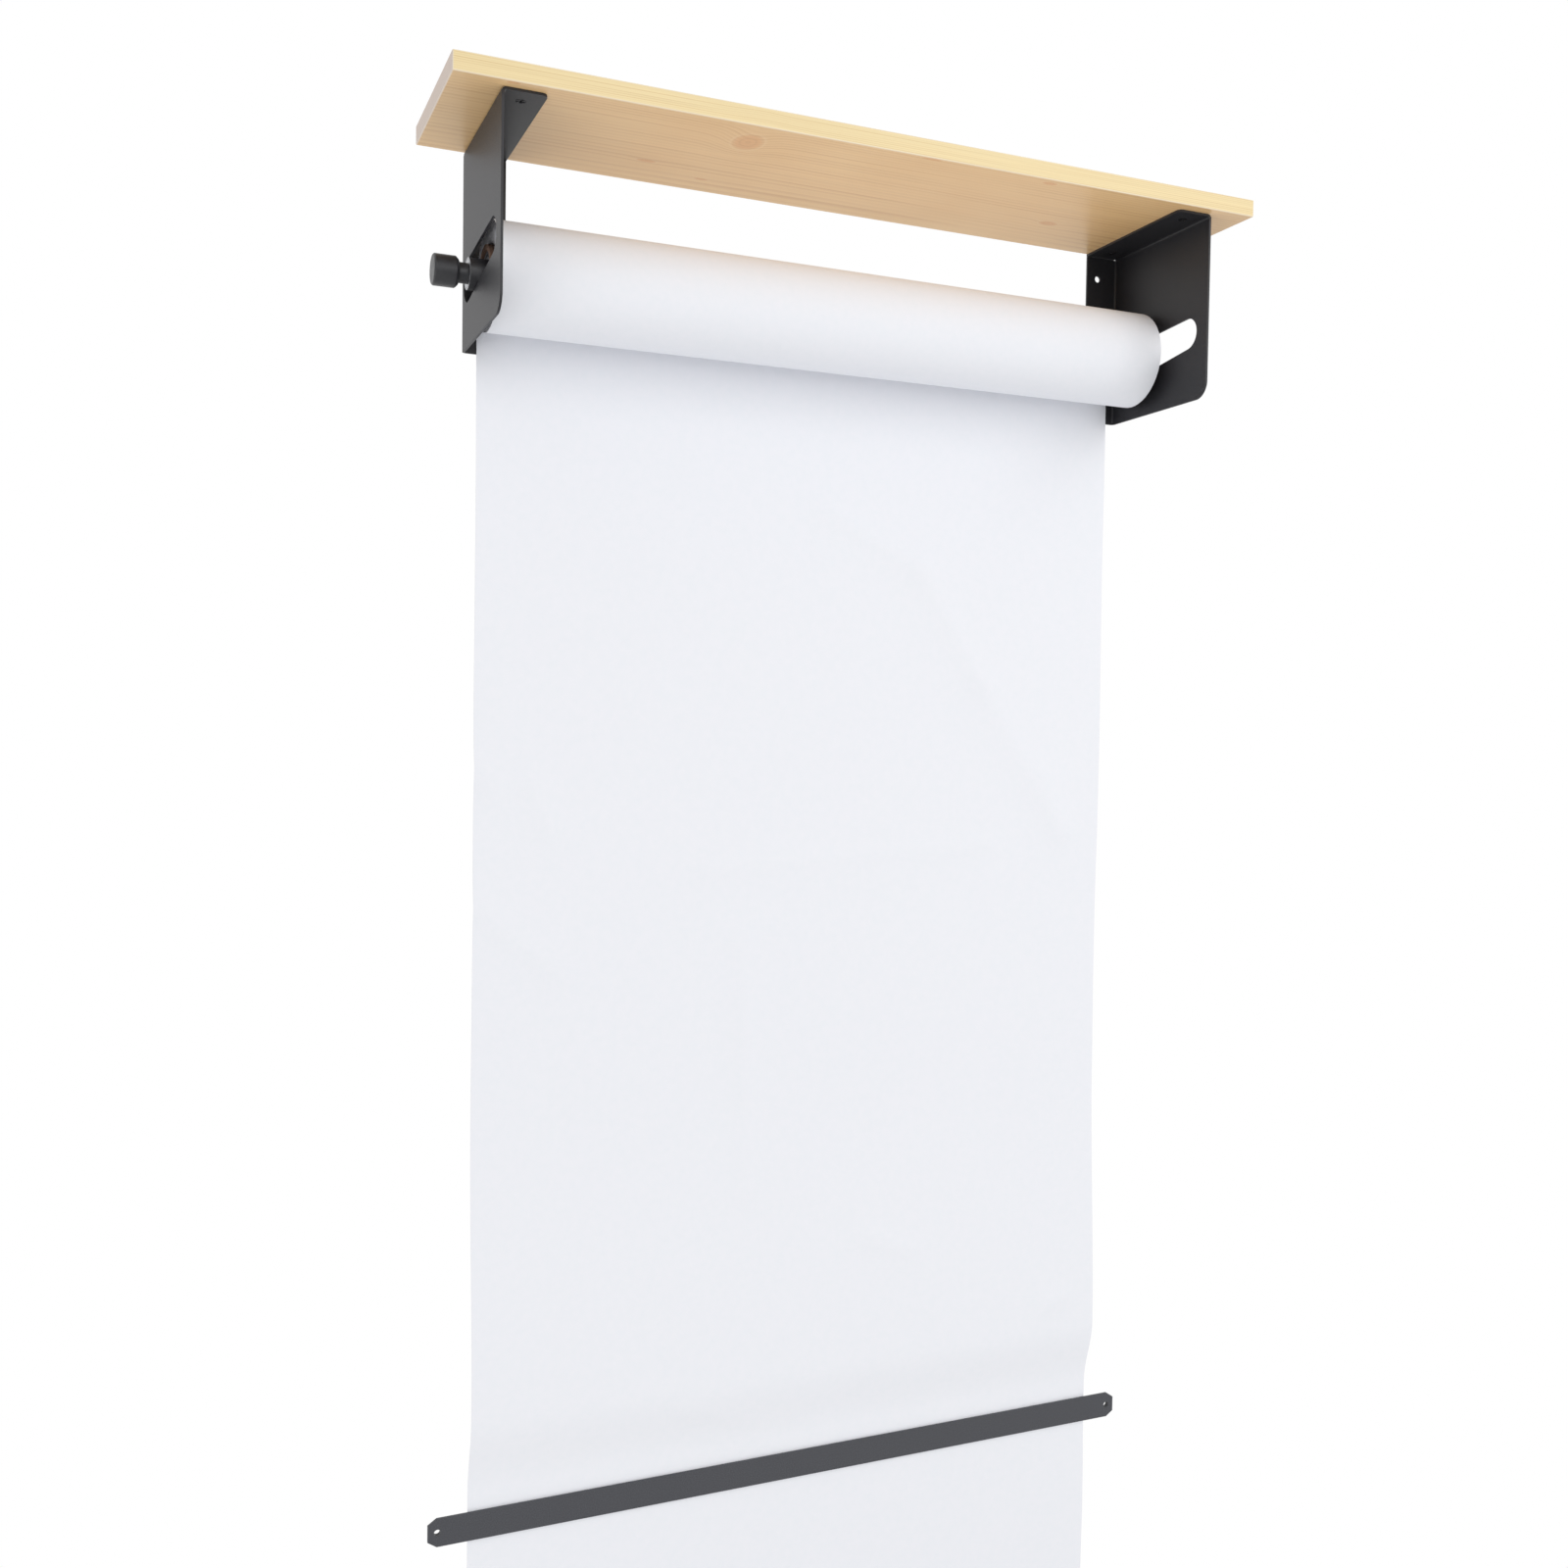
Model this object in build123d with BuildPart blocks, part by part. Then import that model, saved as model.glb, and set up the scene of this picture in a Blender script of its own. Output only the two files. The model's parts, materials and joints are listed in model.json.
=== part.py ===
"""Wall-mounted paper roll dispenser: a shelf on two slotted brackets, a roll on its axle, and a tear bar.

Millimetres. X runs right along the wall, Y into the wall and Z up. The origin is on the wall plane,
at the centre of the four wall holes of the brackets.
"""

import os
from math import asin, atan2, cos, degrees, sin, sqrt

from build123d import *

# Fits
seat_clearance = 0.05
running_clearance = 0.08
rest_clearance = 0.25
cut_overrun = 10.0

# Shelf board, and how far it stands out past the brackets
shelf_side_overhang = 38.0
shelf_front_overhang = 11.0
shelf_thickness = 15.0
shelf_edge_round = 1.0

# Folded sheet steel brackets
roll_side_gap = 9.5
plate_thickness = 2.0
bracket_depth = 143.0
bracket_height = 162.0
flange_width = 35.0
bend_inner_radius = 2.0
plate_corner_radius = 15.0
flange_corner_radius = 5.0
fold_seam = 0.3
wall_hole_diameter = 6.0
wall_hole_inset = 23.0
wall_hole_drop = 23.0

# Slot in each bracket: the outline round a front and a rear circle, with the room each leaves the tube
slot_front_room = 1.5
slot_front_inset = 28.5
slot_front_drop = 100.0
slot_rear_room = 4.5
slot_rear_inset = 24.0
slot_rear_drop = 109.5

# Countersunk wood screws between the brackets and the board
screw_shank_diameter = 4.0
screw_hole_diameter = 4.2
screw_head_diameter = 7.6
screw_sink_diameter = 8.0
screw_sink_angle = 90.0
screw_length = 14.0
screw_point_length = 4.0
screw_front_inset = 17.5
screw_rear_inset = 17.5
screw_side_inset = 18.0
driver_recess_diameter = 2.6
driver_recess_depth = 1.2

# Paper
paper_width = 617.0
roll_radius = 43.0
roll_wall_gap = 3.5
core_outer_radius = 24.0
core_wall = 4.0
core_overhang = 3.0
sheet_thickness = 0.4
sheet_clearance = 0.3
sheet_bulge = 10.0
sheet_bulge_length = 260.0
sheet_bulge_above_bar = 20.0
sheet_tail = 165.0

# Axle: a tube that lies in both slots, with a necked knob at its left end and a flat cap at its right end
tube_diameter = 25.0
tube_wall = 2.0
tube_overhang = 5.0
neck_diameter = 16.0
neck_length = 7.5
knob_diameter = 24.5
knob_length = 20.0
knob_inner_bevel = 2.5
knob_outer_bevel = 1.0
cap_length = 4.5
cap_bevel = 0.8
stud_diameter = 10.0
stud_length = 20.0
insert_length = 26.0

# Plugs that centre the core on the axle
plug_length = 30.0
plug_recess = 2.0
plug_groove_depth = 1.5
plug_groove_width = 2.4

# Tear bar and the spacers behind it
bar_overhang = 33.5
bar_height = 24.0
bar_thickness = 2.0
bar_drop = 1142.0
bar_clip_length = 7.5
bar_clip_height = 5.0
bar_hole_diameter = 5.5
bar_hole_inset = 8.0
spacer_diameter = 12.0
spacer_length = 3.0

# Places on the wall and on the brackets
underside_z = bracket_height / 2
plate_bottom_z = underside_z - bracket_height
plate_inner_x = paper_width / 2 + roll_side_gap
plate_outer_x = plate_inner_x + plate_thickness
shelf_length = 2 * (plate_outer_x + shelf_side_overhang)
shelf_depth = bracket_depth + shelf_front_overhang
flange_edge_x = plate_outer_x - flange_width
bend_outer_radius = bend_inner_radius + plate_thickness
fold_relief = plate_thickness + fold_seam
wall_hole_x = plate_outer_x - wall_hole_inset
wall_hole_pitch = bracket_height - 2 * wall_hole_drop
screw_x = plate_outer_x - screw_side_inset
screw_front_y = screw_front_inset - bracket_depth
screw_rear_y = -screw_rear_inset

# Slot circles, the slope of its lower edge and the axle's place on that edge
tube_radius = tube_diameter / 2
slot_front_radius = tube_radius + slot_front_room
slot_rear_radius = tube_radius + slot_rear_room
slot_front_y = slot_front_inset - bracket_depth
slot_front_z = underside_z - slot_front_drop
slot_rear_y = -slot_rear_inset
slot_rear_z = underside_z - slot_rear_drop
slot_run = slot_rear_y - slot_front_y
slot_fall = slot_front_z - slot_rear_z
slot_flare = asin((slot_rear_radius - slot_front_radius) / sqrt(slot_run**2 + slot_fall**2))
slope = atan2(slot_fall, slot_run) + slot_flare
tube_depth_in_slot = slot_front_room - rest_clearance
axle_y = -(roll_radius + roll_wall_gap)
axle_run = (axle_y - slot_front_y + tube_depth_in_slot * sin(slope)) / cos(slope)
axle_z = slot_front_z - axle_run * sin(slope) - tube_depth_in_slot * cos(slope)

# Places along the axle
tube_end_x = plate_outer_x + tube_overhang
knob_inner_x = tube_end_x + neck_length
knob_outer_x = knob_inner_x + knob_length
cap_outer_x = tube_end_x + cap_length
core_end_x = paper_width / 2 + core_overhang
plug_outer_x = core_end_x - plug_recess
core_inner_radius = core_outer_radius - core_wall

# Places on the tear bar
bar_z = underside_z - bar_drop
bar_half_length = paper_width / 2 + bar_overhang
bar_half_height = bar_height / 2
bar_hole_x = bar_half_length - bar_hole_inset
bar_back_y = -spacer_length

# Working planes and axes
axle_plane = Plane(origin=(0, axle_y, axle_z), x_dir=(0, 1, 0), z_dir=(1, 0, 0))
right_section = Plane(origin=(0, axle_y, axle_z), x_dir=(1, 0, 0), z_dir=(0, -1, 0))
left_section = Plane(origin=(0, axle_y, axle_z), x_dir=(-1, 0, 0), z_dir=(0, 1, 0))
axle_line = Axis((0, axle_y, axle_z), (1, 0, 0))

# Shelf board, with a pilot hole for each wood screw
pilot_radius = screw_shank_diameter / 2 + seat_clearance
pilot_depth = screw_length - plate_thickness + seat_clearance
with BuildPart() as shelf_board:
    with BuildSketch(Plane.XY.offset(underside_z)):
        with Locations((0, -shelf_depth / 2)):
            Rectangle(shelf_length, shelf_depth)
    extrude(amount=shelf_thickness)
    fillet(shelf_board.edges(), radius=shelf_edge_round)
    with BuildSketch(Plane.XY.offset(underside_z)):
        for x in (-screw_x, screw_x):
            with Locations((x, screw_front_y), (x, screw_rear_y)):
                Circle(pilot_radius)
    extrude(amount=pilot_depth, mode=Mode.SUBTRACT)

# Right bracket: one sheet folded to a top flange and to a back flange, with a pinhole where the folds meet
with BuildPart() as right_bracket:
    with BuildSketch(Plane.XZ.offset(fold_relief)):
        with BuildLine():
            FilletPolyline(
                (flange_edge_x, underside_z),
                (plate_outer_x, underside_z),
                (plate_outer_x, plate_bottom_z),
                radius=bend_outer_radius,
            )
            offset(amount=plate_thickness, side=Side.RIGHT)
        make_face()
    extrude(amount=bracket_depth - fold_relief)
    with BuildSketch(Plane.XY.offset(plate_bottom_z)):
        with BuildLine():
            FilletPolyline(
                (flange_edge_x, 0),
                (plate_outer_x, 0),
                (plate_outer_x, -bracket_depth),
                radius=bend_outer_radius,
            )
            offset(amount=plate_thickness, side=Side.RIGHT)
        make_face()
    extrude(amount=bracket_height - fold_relief)
    # The top flange runs on to the wall, over a thin seam along the back flange
    flange_flat = flange_width - bend_outer_radius
    with BuildSketch(Plane.XY.offset(underside_z)):
        with Locations((flange_edge_x, 0)):
            Rectangle(flange_flat, fold_relief, align=(Align.MIN, Align.MAX))
    extrude(amount=-plate_thickness)
    # Rounded free corners
    plate_corner = right_bracket.edges().filter_by(Axis.X).group_by(Axis.Z)[0].group_by(Axis.Y)[0]
    fillet(plate_corner, radius=plate_corner_radius)
    top_corner = right_bracket.edges().filter_by(Axis.Z).group_by(Axis.X)[0].group_by(Axis.Y)[0]
    fillet(top_corner, radius=flange_corner_radius)
    back_corner = right_bracket.edges().filter_by(Axis.Y).group_by(Axis.X)[0].group_by(Axis.Z)[0]
    fillet(back_corner, radius=flange_corner_radius)
    # Slot for the axle's tube
    with BuildSketch(Plane.YZ.offset(plate_inner_x - cut_overrun)):
        with Locations((slot_front_y, slot_front_z)):
            Circle(slot_front_radius)
        with Locations((slot_rear_y, slot_rear_z)):
            Circle(slot_rear_radius)
        make_hull()
    extrude(amount=plate_thickness + 2 * cut_overrun, mode=Mode.SUBTRACT)
    # Wall holes in the back flange
    with BuildSketch(Plane.XZ):
        with Locations((wall_hole_x, 0)):
            with GridLocations(0, wall_hole_pitch, 1, 2):
                Circle(wall_hole_diameter / 2)
    extrude(amount=plate_thickness, mode=Mode.SUBTRACT)
    # Countersunk screw holes in the top flange
    flange_face = (screw_x, 0, underside_z - plate_thickness)
    flange_underside = Plane(origin=flange_face, x_dir=(1, 0, 0), z_dir=(0, 0, -1))
    with Locations(flange_underside):
        with Locations((0, -screw_front_y), (0, -screw_rear_y)):
            CounterSinkHole(
                radius=screw_hole_diameter / 2,
                counter_sink_radius=screw_sink_diameter / 2,
                depth=plate_thickness,
                counter_sink_angle=screw_sink_angle,
            )

# Left bracket
with BuildPart() as left_bracket:
    mirror(right_bracket.part, about=Plane.YZ)


def shelf_screw(x, y):
    """Make one countersunk wood screw, head down, with its head flush with the flange's underside."""
    head_z = underside_z - plate_thickness
    head_radius = screw_head_diameter / 2
    shank_radius = screw_shank_diameter / 2
    head_height = head_radius - shank_radius
    recess_radius = driver_recess_diameter / 2
    with BuildPart() as screw:
        with BuildSketch(Plane(origin=(x, y, head_z), x_dir=(1, 0, 0), z_dir=(0, -1, 0))):
            with BuildLine():
                Polyline(
                    (0, driver_recess_depth),
                    (recess_radius, 0),
                    (head_radius, 0),
                    (shank_radius, head_height),
                    (shank_radius, screw_length - screw_point_length),
                    (0, screw_length),
                    close=True,
                )
            make_face()
        revolve(axis=Axis((x, y, head_z), (0, 0, 1)))
    return screw.part


# Axle tube
with BuildPart() as rod_tube:
    with BuildSketch(axle_plane.offset(-tube_end_x)):
        Circle(tube_radius)
        Circle(tube_radius - tube_wall, mode=Mode.SUBTRACT)
    extrude(amount=2 * tube_end_x)

# Threaded insert at the tube's right end, flush with the tube
insert_radius = tube_radius - tube_wall - seat_clearance
with BuildPart() as right_tube_insert:
    with BuildSketch(axle_plane.offset(tube_end_x)):
        Circle(insert_radius)
        Circle(stud_diameter / 2 + seat_clearance, mode=Mode.SUBTRACT)
    extrude(amount=-insert_length)

with BuildPart() as left_tube_insert:
    mirror(right_tube_insert.part, about=Plane.YZ)

# Left end knob: a stud in the insert, then a neck and a turned knob outside the plate
neck_radius = neck_diameter / 2
knob_radius = knob_diameter / 2
with BuildPart() as left_end_knob:
    with BuildSketch(left_section):
        with BuildLine():
            Polyline(
                (tube_end_x - stud_length, 0),
                (tube_end_x - stud_length, stud_diameter / 2),
                (tube_end_x, stud_diameter / 2),
                (tube_end_x, neck_radius),
                (knob_inner_x, neck_radius),
                (knob_inner_x, knob_radius - knob_inner_bevel),
                (knob_inner_x + knob_inner_bevel, knob_radius),
                (knob_outer_x - knob_outer_bevel, knob_radius),
                (knob_outer_x, knob_radius - knob_outer_bevel),
                (knob_outer_x, 0),
                close=True,
            )
        make_face()
    revolve(axis=axle_line)

# Right end cap: a stud in the insert and a flat cap no wider than the tube, which passes through the slots
with BuildPart() as right_end_cap:
    with BuildSketch(right_section):
        with BuildLine():
            Polyline(
                (tube_end_x - stud_length, 0),
                (tube_end_x - stud_length, stud_diameter / 2),
                (tube_end_x, stud_diameter / 2),
                (tube_end_x, tube_radius),
                (cap_outer_x - cap_bevel, tube_radius),
                (cap_outer_x, tube_radius - cap_bevel),
                (cap_outer_x, 0),
                close=True,
            )
        make_face()
    revolve(axis=axle_line)

# Right core plug: runs on the tube, sits in the core, with a ring groove in its outer face
plug_bore_radius = tube_radius + running_clearance
plug_radius = core_inner_radius - seat_clearance
groove_radius = (plug_radius + plug_bore_radius) / 2
with BuildPart() as right_core_plug:
    with BuildSketch(axle_plane.offset(plug_outer_x)):
        Circle(plug_radius)
        Circle(plug_bore_radius, mode=Mode.SUBTRACT)
    extrude(amount=-plug_length)
    with BuildSketch(axle_plane.offset(plug_outer_x)):
        Circle(groove_radius + plug_groove_width / 2)
        Circle(groove_radius - plug_groove_width / 2, mode=Mode.SUBTRACT)
    extrude(amount=-plug_groove_depth, mode=Mode.SUBTRACT)

with BuildPart() as left_core_plug:
    mirror(right_core_plug.part, about=Plane.YZ)

# Cardboard core and the paper wound on it
with BuildPart() as cardboard_core:
    with BuildSketch(axle_plane.offset(-core_end_x)):
        Circle(core_outer_radius)
        Circle(core_inner_radius, mode=Mode.SUBTRACT)
    extrude(amount=2 * core_end_x)

with BuildPart() as paper_roll:
    with BuildSketch(axle_plane.offset(-paper_width / 2)):
        Circle(roll_radius)
        Circle(core_outer_radius + seat_clearance, mode=Mode.SUBTRACT)
    extrude(amount=paper_width)

# Paper that hangs from the back of the roll, bulges a little above the bar and goes down behind it
sheet_top_y = axle_y + roll_radius + sheet_clearance
sheet_bar_y = bar_back_y + sheet_clearance
bulge_end_z = bar_z + bar_half_height + sheet_bulge_above_bar
bulge_turn = 4 * sheet_bulge / sheet_bulge_length
bulge_radius = sheet_bulge_length / (4 * sin(bulge_turn))
bulge_degrees = degrees(bulge_turn)
with BuildPart() as paper_sheet:
    with BuildSketch(Plane.YZ.offset(-paper_width / 2)):
        with BuildLine():
            hang = Line((sheet_top_y, axle_z), (sheet_bar_y, bulge_end_z + sheet_bulge_length))
            lean_out = JernArc(hang @ 1, (0, -1), radius=bulge_radius, arc_size=-bulge_degrees)
            belly = JernArc(lean_out @ 1, lean_out % 1, radius=bulge_radius, arc_size=2 * bulge_degrees)
            lean_in = JernArc(belly @ 1, belly % 1, radius=bulge_radius, arc_size=-bulge_degrees)
            Line(lean_in @ 1, (sheet_bar_y, bar_z - sheet_tail))
            offset(amount=sheet_thickness, side=Side.LEFT)
        make_face()
    extrude(amount=paper_width)

# Tear bar with clipped corners and a hole at each end
clip_x = bar_half_length - bar_clip_length
clip_z = bar_half_height - bar_clip_height
with BuildPart() as tear_bar:
    with BuildSketch(Plane.XZ.offset(-bar_back_y)):
        with Locations((0, bar_z)):
            Polygon(
                (-clip_x, bar_half_height),
                (clip_x, bar_half_height),
                (bar_half_length, clip_z),
                (bar_half_length, -clip_z),
                (clip_x, -bar_half_height),
                (-clip_x, -bar_half_height),
                (-bar_half_length, -clip_z),
                (-bar_half_length, clip_z),
            )
        with Locations((-bar_hole_x, bar_z), (bar_hole_x, bar_z)):
            Circle(bar_hole_diameter / 2, mode=Mode.SUBTRACT)
    extrude(amount=bar_thickness)


def bar_spacer(x):
    """Make one round spacer between the wall and the tear bar, on the bar's hole."""
    with BuildPart() as spacer:
        with BuildSketch(Plane.XZ):
            with Locations((x, bar_z)):
                Circle(spacer_diameter / 2)
                Circle(bar_hole_diameter / 2, mode=Mode.SUBTRACT)
        extrude(amount=spacer_length)
    return spacer.part


pieces = {
    "shelf_board": shelf_board.part,
    "left_bracket": left_bracket.part,
    "right_bracket": right_bracket.part,
    "front_left_shelf_screw": shelf_screw(-screw_x, screw_front_y),
    "rear_left_shelf_screw": shelf_screw(-screw_x, screw_rear_y),
    "front_right_shelf_screw": shelf_screw(screw_x, screw_front_y),
    "rear_right_shelf_screw": shelf_screw(screw_x, screw_rear_y),
    "rod_tube": rod_tube.part,
    "left_tube_insert": left_tube_insert.part,
    "right_tube_insert": right_tube_insert.part,
    "left_end_knob": left_end_knob.part,
    "right_end_cap": right_end_cap.part,
    "left_core_plug": left_core_plug.part,
    "right_core_plug": right_core_plug.part,
    "cardboard_core": cardboard_core.part,
    "paper_roll": paper_roll.part,
    "paper_sheet": paper_sheet.part,
    "tear_bar": tear_bar.part,
    "left_bar_spacer": bar_spacer(-bar_hole_x),
    "right_bar_spacer": bar_spacer(bar_hole_x),
}

os.makedirs("parts", exist_ok=True)
for node, piece in pieces.items():
    piece.label = node
    export_step(piece, f"parts/{node}.step")

print(f"axle at y {axle_y:.3f}, z {axle_z:.3f}; slot slopes {degrees(slope):.4f} degrees")
print(f"axle run {axle_run:.2f} mm; wall holes {2 * wall_hole_x:.1f} by {wall_hole_pitch:.1f} mm")
print(f"bar holes {2 * bar_hole_x:.1f} mm apart at z {bar_z:.1f}; sheet end z {bar_z - sheet_tail:.1f}")
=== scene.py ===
"""Dress the wall-mounted paper roll dispenser and set its studio.

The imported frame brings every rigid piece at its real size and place. This script gives each
surface its finish, rounds the edges that catch the light, models the wound roll, the hanging
sheet, the axle's turned ends and the screws, and sets a white studio with the portrait's camera.
Metres: X runs right along the wall, Y into the wall and Z up.
"""

from __future__ import annotations

import json
import logging
import math
from collections.abc import Iterator, Sequence
from dataclasses import dataclass
from enum import Enum

import bmesh
import bpy
from mathutils import Matrix, Vector

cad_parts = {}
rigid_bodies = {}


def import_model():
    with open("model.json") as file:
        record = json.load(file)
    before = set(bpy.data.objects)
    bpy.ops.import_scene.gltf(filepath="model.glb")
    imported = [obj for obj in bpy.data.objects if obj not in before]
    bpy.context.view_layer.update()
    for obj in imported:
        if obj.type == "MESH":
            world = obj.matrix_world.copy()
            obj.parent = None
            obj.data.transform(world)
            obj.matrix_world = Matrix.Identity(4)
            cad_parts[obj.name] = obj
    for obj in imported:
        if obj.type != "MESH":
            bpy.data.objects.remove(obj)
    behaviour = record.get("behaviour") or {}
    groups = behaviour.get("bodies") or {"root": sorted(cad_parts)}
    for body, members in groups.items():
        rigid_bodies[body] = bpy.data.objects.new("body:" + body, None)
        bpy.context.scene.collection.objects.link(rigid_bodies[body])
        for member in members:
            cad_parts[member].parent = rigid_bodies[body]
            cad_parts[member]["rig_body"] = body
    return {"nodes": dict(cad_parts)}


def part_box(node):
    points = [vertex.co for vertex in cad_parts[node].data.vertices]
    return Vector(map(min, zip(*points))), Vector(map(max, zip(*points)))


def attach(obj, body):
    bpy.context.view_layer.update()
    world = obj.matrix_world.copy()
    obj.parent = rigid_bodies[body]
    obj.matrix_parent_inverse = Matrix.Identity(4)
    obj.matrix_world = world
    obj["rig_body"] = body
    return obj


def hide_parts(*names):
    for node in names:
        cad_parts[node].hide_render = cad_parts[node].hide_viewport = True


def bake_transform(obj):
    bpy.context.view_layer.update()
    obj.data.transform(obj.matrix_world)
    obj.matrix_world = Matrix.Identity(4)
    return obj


LOG = logging.getLogger("dispenser")

Shape = bmesh.types.BMesh
Piece = bpy.types.Object
Tree = bpy.types.NodeTree
Socket = bpy.types.NodeSocket
Inputs = dict[str | int, object]
Span = tuple[float, float]
Point = tuple[float, float, float]

# A Mix node that mixes colours: its setting, and its sockets by number
MIX_COLOURS = {"data_type": "RGBA"}
MIX_FACTOR = 0
MIX_FIRST = 6
MIX_SECOND = 7
MIX_RESULT = 2

# A Map Range node that eases in and out
EASED = {"interpolation_type": "SMOOTHSTEP"}

# A Wave texture repeats once every this many units at a scale of 1
WAVE_PERIOD = math.pi / 10

# Further from every knot, in its own half-widths, than any place on the board
FAR_FROM_KNOTS = 1e3

# Corners nearer than this are one corner, and flatter folds than this are flat
MERGE_DISTANCE = 1e-6
FLAT_FOLD = math.radians(0.5)

# How much more a large face counts than a small one in the shading between them
LARGE_FACE_WEIGHT = 80


class Side(Enum):
    """Which end of the dispenser a piece belongs to."""

    LEFT = "left"
    RIGHT = "right"


class Row(Enum):
    """Which of a bracket's two shelf screws is meant."""

    FRONT = "front"
    REAR = "rear"


def linear(hex_colour: str) -> tuple[float, float, float, float]:
    """Turn an sRGB hex colour into linear light.

    Args:
        hex_colour: A colour such as "#F0E0B0".

    Returns:
        Linear red, green and blue, with an alpha of 1.
    """
    shares = [int(hex_colour[i : i + 2], 16) / 255 for i in (1, 3, 5)]
    light = [c / 12.92 if c <= 0.04045 else ((c + 0.055) / 1.055) ** 2.4 for c in shares]
    return light[0], light[1], light[2], 1.0


def add_node(
    tree: Tree,
    kind: str,
    settings: dict[str, object] | None = None,
    inputs: Inputs | None = None,
) -> bpy.types.Node:
    """Add one node with its settings, and set or link its inputs.

    Args:
        tree: The node tree to add to.
        kind: Blender's name for the type of node.
        settings: The node's own properties.
        inputs: A value, or a socket to link from, for each input by name or number.

    Returns:
        The new node.
    """
    node = tree.nodes.new(kind)
    for key, value in (settings or {}).items():
        setattr(node, key, value)
    for key, value in (inputs or {}).items():
        if isinstance(value, bpy.types.NodeSocket):
            tree.links.new(value, node.inputs[key])
        else:
            node.inputs[key].default_value = value
    return node


def smoothstep(share: float) -> float:
    """Ease a share from 0 to 1, flat at both ends."""
    held = min(1.0, max(0.0, share))
    return held * held * (3 - 2 * held)


@dataclass(frozen=True)
class Finish:
    """A procedural finish, made into one material on first use."""

    name: str

    def material(self) -> bpy.types.Material:
        """Find the finish's material, or make it.

        Returns:
            The one material of the finish's name.
        """
        known = bpy.data.materials.get(self.name)
        if known is not None:
            return known
        material = bpy.data.materials.new(self.name)
        material.use_nodes = True
        tree = material.node_tree
        tree.nodes.clear()
        place = add_node(tree, "ShaderNodeTexCoord").outputs["Object"]
        shader = add_node(tree, "ShaderNodeBsdfPrincipled", inputs=self.surface(tree, place))
        add_node(tree, "ShaderNodeOutputMaterial", inputs={"Surface": shader.outputs["BSDF"]})
        return material

    def surface(self, tree: Tree, place: Socket) -> Inputs:
        """Build the finish's pattern.

        Args:
            tree: The material's node tree.
            place: Object coordinates, in metres.

        Returns:
            The shader's inputs, as values or as sockets of the pattern.
        """
        raise NotImplementedError

    def dress(self, piece: Piece) -> Piece:
        """Put the finish on a piece.

        Args:
            piece: The piece to dress.

        Returns:
            The same piece.
        """
        if not piece.material_slots:
            piece.data.materials.append(None)
        piece.material_slots[0].material = self.material()
        return piece


@dataclass(frozen=True)
class Knot:
    """A branch through the board: its centre, its half-widths and how far it lifts the rings."""

    centre: Span
    radii: Span
    swing: float = 0.0


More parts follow.
